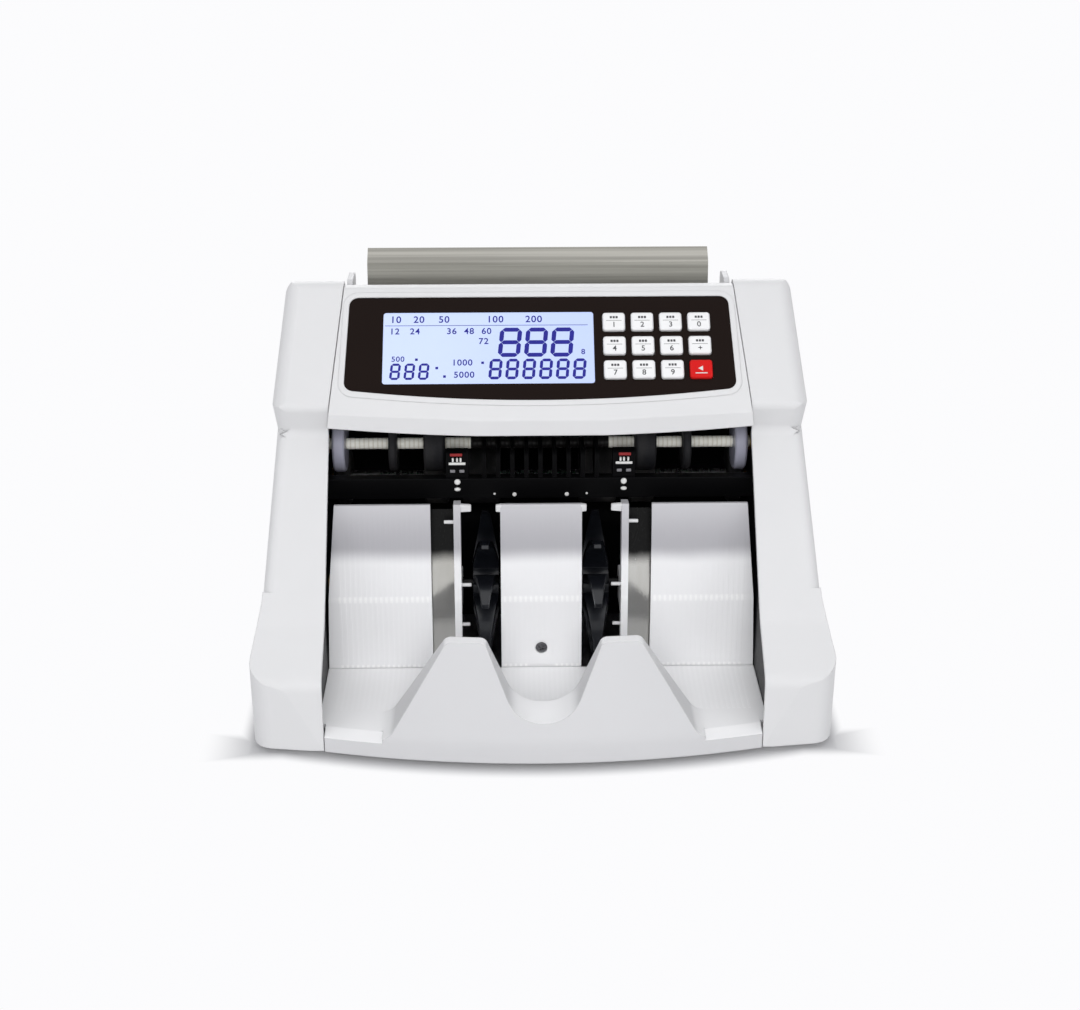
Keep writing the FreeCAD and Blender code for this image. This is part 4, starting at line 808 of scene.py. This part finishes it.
for count, left, right, top, low in figure_groups:
    pitch = (right - left + figure_gap) / count
    tall = (low - top) * millimetre
    figure = seven_bars((pitch - figure_gap) * millimetre, tall, tall / strokes_high)
    middle = -(low + top) / 2 * millimetre
    first = left + (pitch - figure_gap) / 2
    marks.append(repeated(figure, [((first + pitch * index) * millimetre, middle, lens_top)
                                   for index in range(count)]))
for number, *sizes in plain_numbers:
    size, x, t = [value * millimetre for value in sizes]
    marks.append(figures(str(number), size, x, t, lens_top, weight=0.014))
flat_marks = [(x, t, dot_size, dot_size) for x, t in dot_places] + [(rule_x, rule_t, rule_width, rule_height)]
for sizes in flat_marks:
    x, t, width, height = [value * millimetre for value in sizes]
    marks.append(flat_bar(x, t, width, height, lens_top))
display_marks = joined(marks)
display_marks.data.transform(panel_place)
settle(display_marks, "display_marks", lcd_blue, "housing")


# Keypad: eleven white keys and one red key, moulded with a satin skin, over a grey silicone mat. Each white
# key has a plain number or sign and small bars printed in dark ink, and the red key a white arrow and bar.
key_white = moulded("key_white", (0.86, 0.86, 0.863, 1), (0.90, 0.90, 0.903, 1), roughness=0.30, grain=0.06)
white_keys = [f"key_{name}" for name in (1, 2, 3, 4, 5, 6, 7, 8, 9, "add", "batch")]
dress(key_white, *white_keys)
key_red = moulded("key_red", (0.66, 0.010, 0.010, 1), (0.74, 0.05, 0.045, 1),
                  roughness=0.30, grain=0.06, shine=0.10)
dress(key_red, "key_start")
dress(rubber("mat_silicone", (0.24, 0.24, 0.25, 1), dusty=0.1), "keypad_mat")

key_ink = moulded("key_ink", (0.07, 0.07, 0.075, 1), (0.14, 0.14, 0.145, 1),
                  roughness=0.5, grain=0.05, shine=0.2)
key_top = 0.0018
first_row, row_pitch, key_height = 0.0156, 0.0139, 0.0103
sign_size, sign_drop = 0.0042, 0.0022
line_rise, line_width, line_height = 0.0003, 0.0080, 0.0002
tick_rise, tick_pitch, tick_width, tick_height = 0.0022, 0.0015, 0.0011, 0.0013
arrow_radius, arrow_edge = 0.0017, 0.00012
foot_drop, foot_width, foot_height = 0.0027, 0.0062, 0.0006
rows = (("1", "2", "3", "add"), ("4", "5", "6", "batch"), ("7", "8", "9", "start"))
signs = {"add": "0", "batch": "+"}
for row, names in enumerate(rows):
    for name in names:
        key_low, key_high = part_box("key_" + name)
        x = (key_low.x + key_high.x) / 2
        t = first_row + row * row_pitch + key_height / 2
        if name == "start":
            paint = mark_paint
            arrow = rod((x, -t, key_top + film / 2), arrow_radius, film, (0, 0, -math.pi / 6), sides=3)
            prints = [softened(arrow, arrow_edge)]
            prints.append(flat_bar(x, t + foot_drop, foot_width, foot_height, key_top))
        else:
            paint = key_ink
            prints = [figures(signs.get(name, name), sign_size, x, t + sign_drop, key_top)]
            prints.append(flat_bar(x, t - line_rise, line_width, line_height, key_top))
            for step in (-tick_pitch, 0, tick_pitch):
                prints.append(flat_bar(x + step, t - tick_rise, tick_width, tick_height, key_top))
        legend = joined(prints)
        legend.data.transform(panel_place)
        settle(legend, f"legend_{name}", paint, "key_" + name)


# Sensor boards on the two sensor holders: a red tape over the flat lead, a white connector with three pins,
# grey chips, a domed white lamp and its reflector, soldered or glued on. Small white caps are pressed into
# the exit comb's bar.
sensor_x = 0.0432
part_sunk, part_corner = 0.0002, 0.2
tape_place, tape_size = (0.0005, -0.0155, 0.1222), (0.0064, 0.0016)
plug_place, plug_size = (0.0, -0.0172, 0.1180), (0.0088, 0.0014)
lead_steps, lead_y, lead_z = (-0.0018, 0.0, 0.0022), -0.0161, 0.1194
lead_size, lead_proud = (0.0010, 0.0030), 0.0014
chip_step, chip_y, chip_z, chip_size = 0.0024, -0.0177, 0.1140, (0.0026, 0.0016)
bar_front = -0.0187
lamp_rows = ((0.1083, 1.0), (0.1042, 0.6))
lamp_radius, lamp_depth, lamp_dome = 0.0016, 0.0020, 0.0008
cap_rows = ((0.0136, 0.1010, 0.0011), (0.0240, 0.1014, 0.0006))
cap_depth, cap_edge = 0.0010, 0.0003


def sensor_part(side, place, size, proud=0.0008):
    """One small part of a sensor, standing proud of what carries it."""
    x, y, z = place
    width, height = size
    part = block((side * (sensor_x + x), y - proud / 2 + part_sunk, z), (width, proud, height))
    return softened(part, min(width, height) * part_corner)


red_tape = moulded("red_tape", (0.30, 0.020, 0.022, 1), (0.36, 0.05, 0.05, 1), roughness=0.5, grain=0.1)
chip_grey = moulded("chip_grey", (0.22, 0.215, 0.23, 1), (0.30, 0.30, 0.31, 1), roughness=0.45, grain=0.1)
tapes, connectors, chips, lamps = [], [], [], []
for side in (-1, 1):
    tapes.append(sensor_part(side, tape_place, tape_size))
    connectors.append(sensor_part(side, plug_place, plug_size))
    for x in lead_steps:
        connectors.append(sensor_part(side, (x, lead_y, lead_z), lead_size, lead_proud))
    for x in (-chip_step, chip_step):
        chips.append(sensor_part(side, (x, chip_y, chip_z), chip_size))
    for z, squeeze in lamp_rows:
        lamp = rod((side * sensor_x, bar_front, z), lamp_radius, lamp_depth, along_y, squeeze=squeeze)
        lamps.append(softened(lamp, lamp_dome, 4))
    for x, z, radius in cap_rows:
        cap = rod((side * x, bar_front, z), radius, cap_depth, along_y)
        lamps.append(softened(cap, cap_edge))
settle(joined(tapes), "sensor_tapes", red_tape, "housing")
settle(joined(connectors), "sensor_connectors", mark_paint, "housing")
settle(joined(chips), "sensor_chips", chip_grey, "housing")
settle(joined(lamps), "sensor_lamps", mark_paint, "housing")


# Screws of the rear cover and of the backstop: pan heads of blackened steel with a cross recess, which
# stand in for the plain heads of the solid model.
head_radius, head_height, head_edge = 0.0030, 0.0012, 0.0005
cross_length, cross_width, cross_depth = 0.0034, 0.0007, 0.0012
front_place, front_turn = (0, -0.0440, 0.0235), 0.5
rear_x, rear_face, rear_heights = 0.1006, 0.1225, (0.0150, 0.1081)


def screw_head():
    """Pan head round Y at the origin, its crown towards the front."""
    head = rod((0, head_height / 2, 0), head_radius, head_height, along_y, sides=48)
    softened(head, head_edge, 4)
    for size in ((cross_length, cross_depth, cross_width), (cross_width, cross_depth, cross_length)):
        recess = block((0, 0, 0), size)
        modified(head, "BOOLEAN", object=recess, operation="DIFFERENCE", solver="EXACT")
        bpy.data.objects.remove(recess)
    return head


front_screw = screw_head()
front_screw.data.transform(Matrix.Translation(front_place) @ Matrix.Rotation(front_turn, 4, "Y"))
rear_screw = screw_head()
rear_screw.data.transform(Matrix.Rotation(math.pi, 4, "Z"))
rear_screws = repeated(rear_screw, [(x, rear_face, z) for x in (-rear_x, rear_x) for z in rear_heights])
screws = joined([front_screw, rear_screws])
only(screws)
bpy.ops.object.shade_smooth_by_angle(angle=math.radians(35))
screw_steel, where = start_finish("screw_steel")
scuff = noise(where, 900.0, 3.0)
end_finish(screw_steel, {
    "Base Color": scuff.between((0.06, 0.06, 0.062, 1), (0.22, 0.22, 0.23, 1)),
    "Metallic": 1.0,
    "Roughness": 0.20 + scuff * 0.18,
    "Normal": relief(scuff, 0.1, 0.0001),
})
settle(screws, "cross_screws", screw_steel, "housing")
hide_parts("housing_screws")


# Stage: a pale floor that fades into a white surround and keeps the machine's shadow close to it, five soft
# lamps, and the camera.
backdrop_white = (0.972, 0.972, 0.985, 1)
half_width, half_depth = cad_box[1].x, cad_box[1].y
front_bow, bow_reach = 1.05, 0.130
shadow_front, shadow_side, shadow_rear = 0.0095, 0.009, 0.0105
strip_side_low, strip_side_high = 0.138, 0.172
strip_low, strip_high = 0.006, 0.018
contact_share = 0.05


def ray_masks(start):
    """Masks of the rays from the camera, off glossy surfaces and through clear ones."""
    kinds = ("Is Camera Ray", "Is Glossy Ray", "Is Transmission Ray")
    return [start.node("LightPath", {}, {}, kind) for kind in kinds]


def limit(operation, first, *others):
    """Lowest or highest of several values."""
    for other in others:
        first = first.node("Math", {"operation": operation}, {0: first, 1: other})
    return first


bpy.ops.object.select_all(action="DESELECT")
bpy.ops.mesh.primitive_plane_add(size=8.0, location=(0, 0, 0))
floor = bpy.context.object
floor.name = "floor"
pale, where = start_finish("pale_floor")
seen, mirrored, through = ray_masks(where)
across = abs(axis(where, "X"))
along = axis(where, "Y")
within = limit("MINIMUM", across, bow_reach)
inward = along + half_depth - within * within * front_bow
ahead = inward.step(0.0, -shadow_front)
beside = across.step(half_width, half_width + shadow_side)
behind = along.step(half_depth, half_depth + shadow_rear)
round_foot = limit("MAXIMUM", ahead, beside, behind)
strip_beside = across.step(strip_side_low, strip_side_high)
front_strip = limit("MAXIMUM", ahead, strip_beside, inward.step(strip_low, strip_high))
away = limit("MINIMUM", round_foot, front_strip)
bare = limit("MINIMUM", seen + mirrored + through, 1.0) * (contact_share + away * (1 - contact_share))
white = where.node("Emission", {}, {"Color": backdrop_white, "Strength": 1.0})
paper_colour = seen.between((0.70, 0.70, 0.71, 1), (0.56, 0.56, 0.57, 1))
paper = where.node("BsdfDiffuse", {}, {"Color": paper_colour})
surface = where.node("MixShader", {}, {0: bare, 1: paper, 2: white})
where.node("OutputMaterial", {}, {"Surface": surface})
floor.data.materials.append(pale)

world = bpy.data.worlds.new("studio")
bpy.context.scene.world = world
world.use_nodes = True
world.node_tree.nodes.clear()
sky = Socket(world.node_tree)
seen, mirrored, through = ray_masks(sky)
ambient = sky.node("Background", {}, {"Color": (0.95, 0.96, 1.0, 1), "Strength": 0.44})
backdrop = sky.node("Background", {}, {"Color": backdrop_white, "Strength": 1.0})
surround = sky.node("MixShader", {}, {0: seen + mirrored + through, 1: ambient, 2: backdrop})
sky.node("OutputWorld", {}, {"Surface": surround})


def aimed(holder, place, aim):
    """Put a lamp or the camera at its place and turn it towards a point."""
    bpy.context.scene.collection.objects.link(holder)
    holder.location = place
    holder.rotation_euler = (Vector(aim) - Vector(place)).to_track_quat("-Z", "Y").to_euler()


for name, place, aim, size, watts in (
        ("overhead_lamp", (0.0, -0.12, 1.35), (0, 0.02, 0.05), 1.3, 4.0),
        ("left_lamp", (-1.25, -0.9, 0.85), (0, 0, 0.10), 0.9, 2.7),
        ("right_lamp", (1.25, -0.9, 0.85), (0, 0, 0.10), 0.9, 2.7),
        ("rear_lamp", (0.0, 1.30, 0.80), (0, 0, 0.08), 0.9, 5.0),
        ("front_lamp", (0.0, -1.28, 0.62), (0, 0, 0.08), 0.7, 8.2)):
    light = bpy.data.lights.new(name, "AREA")
    light.size = size
    light.energy = watts
    holder = bpy.data.objects.new(name, light)
    holder.visible_glossy = name != "front_lamp"
    aimed(holder, place, aim)

camera_place, camera_aim = (-0.0147, -0.8427, 0.479), (0, 0, 0.086)
camera_lens = bpy.data.cameras.new("camera")
camera_lens.sensor_width = 36.0
camera_lens.lens = 58.0
camera = bpy.data.objects.new("camera", camera_lens)
aimed(camera, camera_place, camera_aim)
bpy.context.scene.camera = camera
bpy.context.scene.view_settings.view_transform = "Standard"
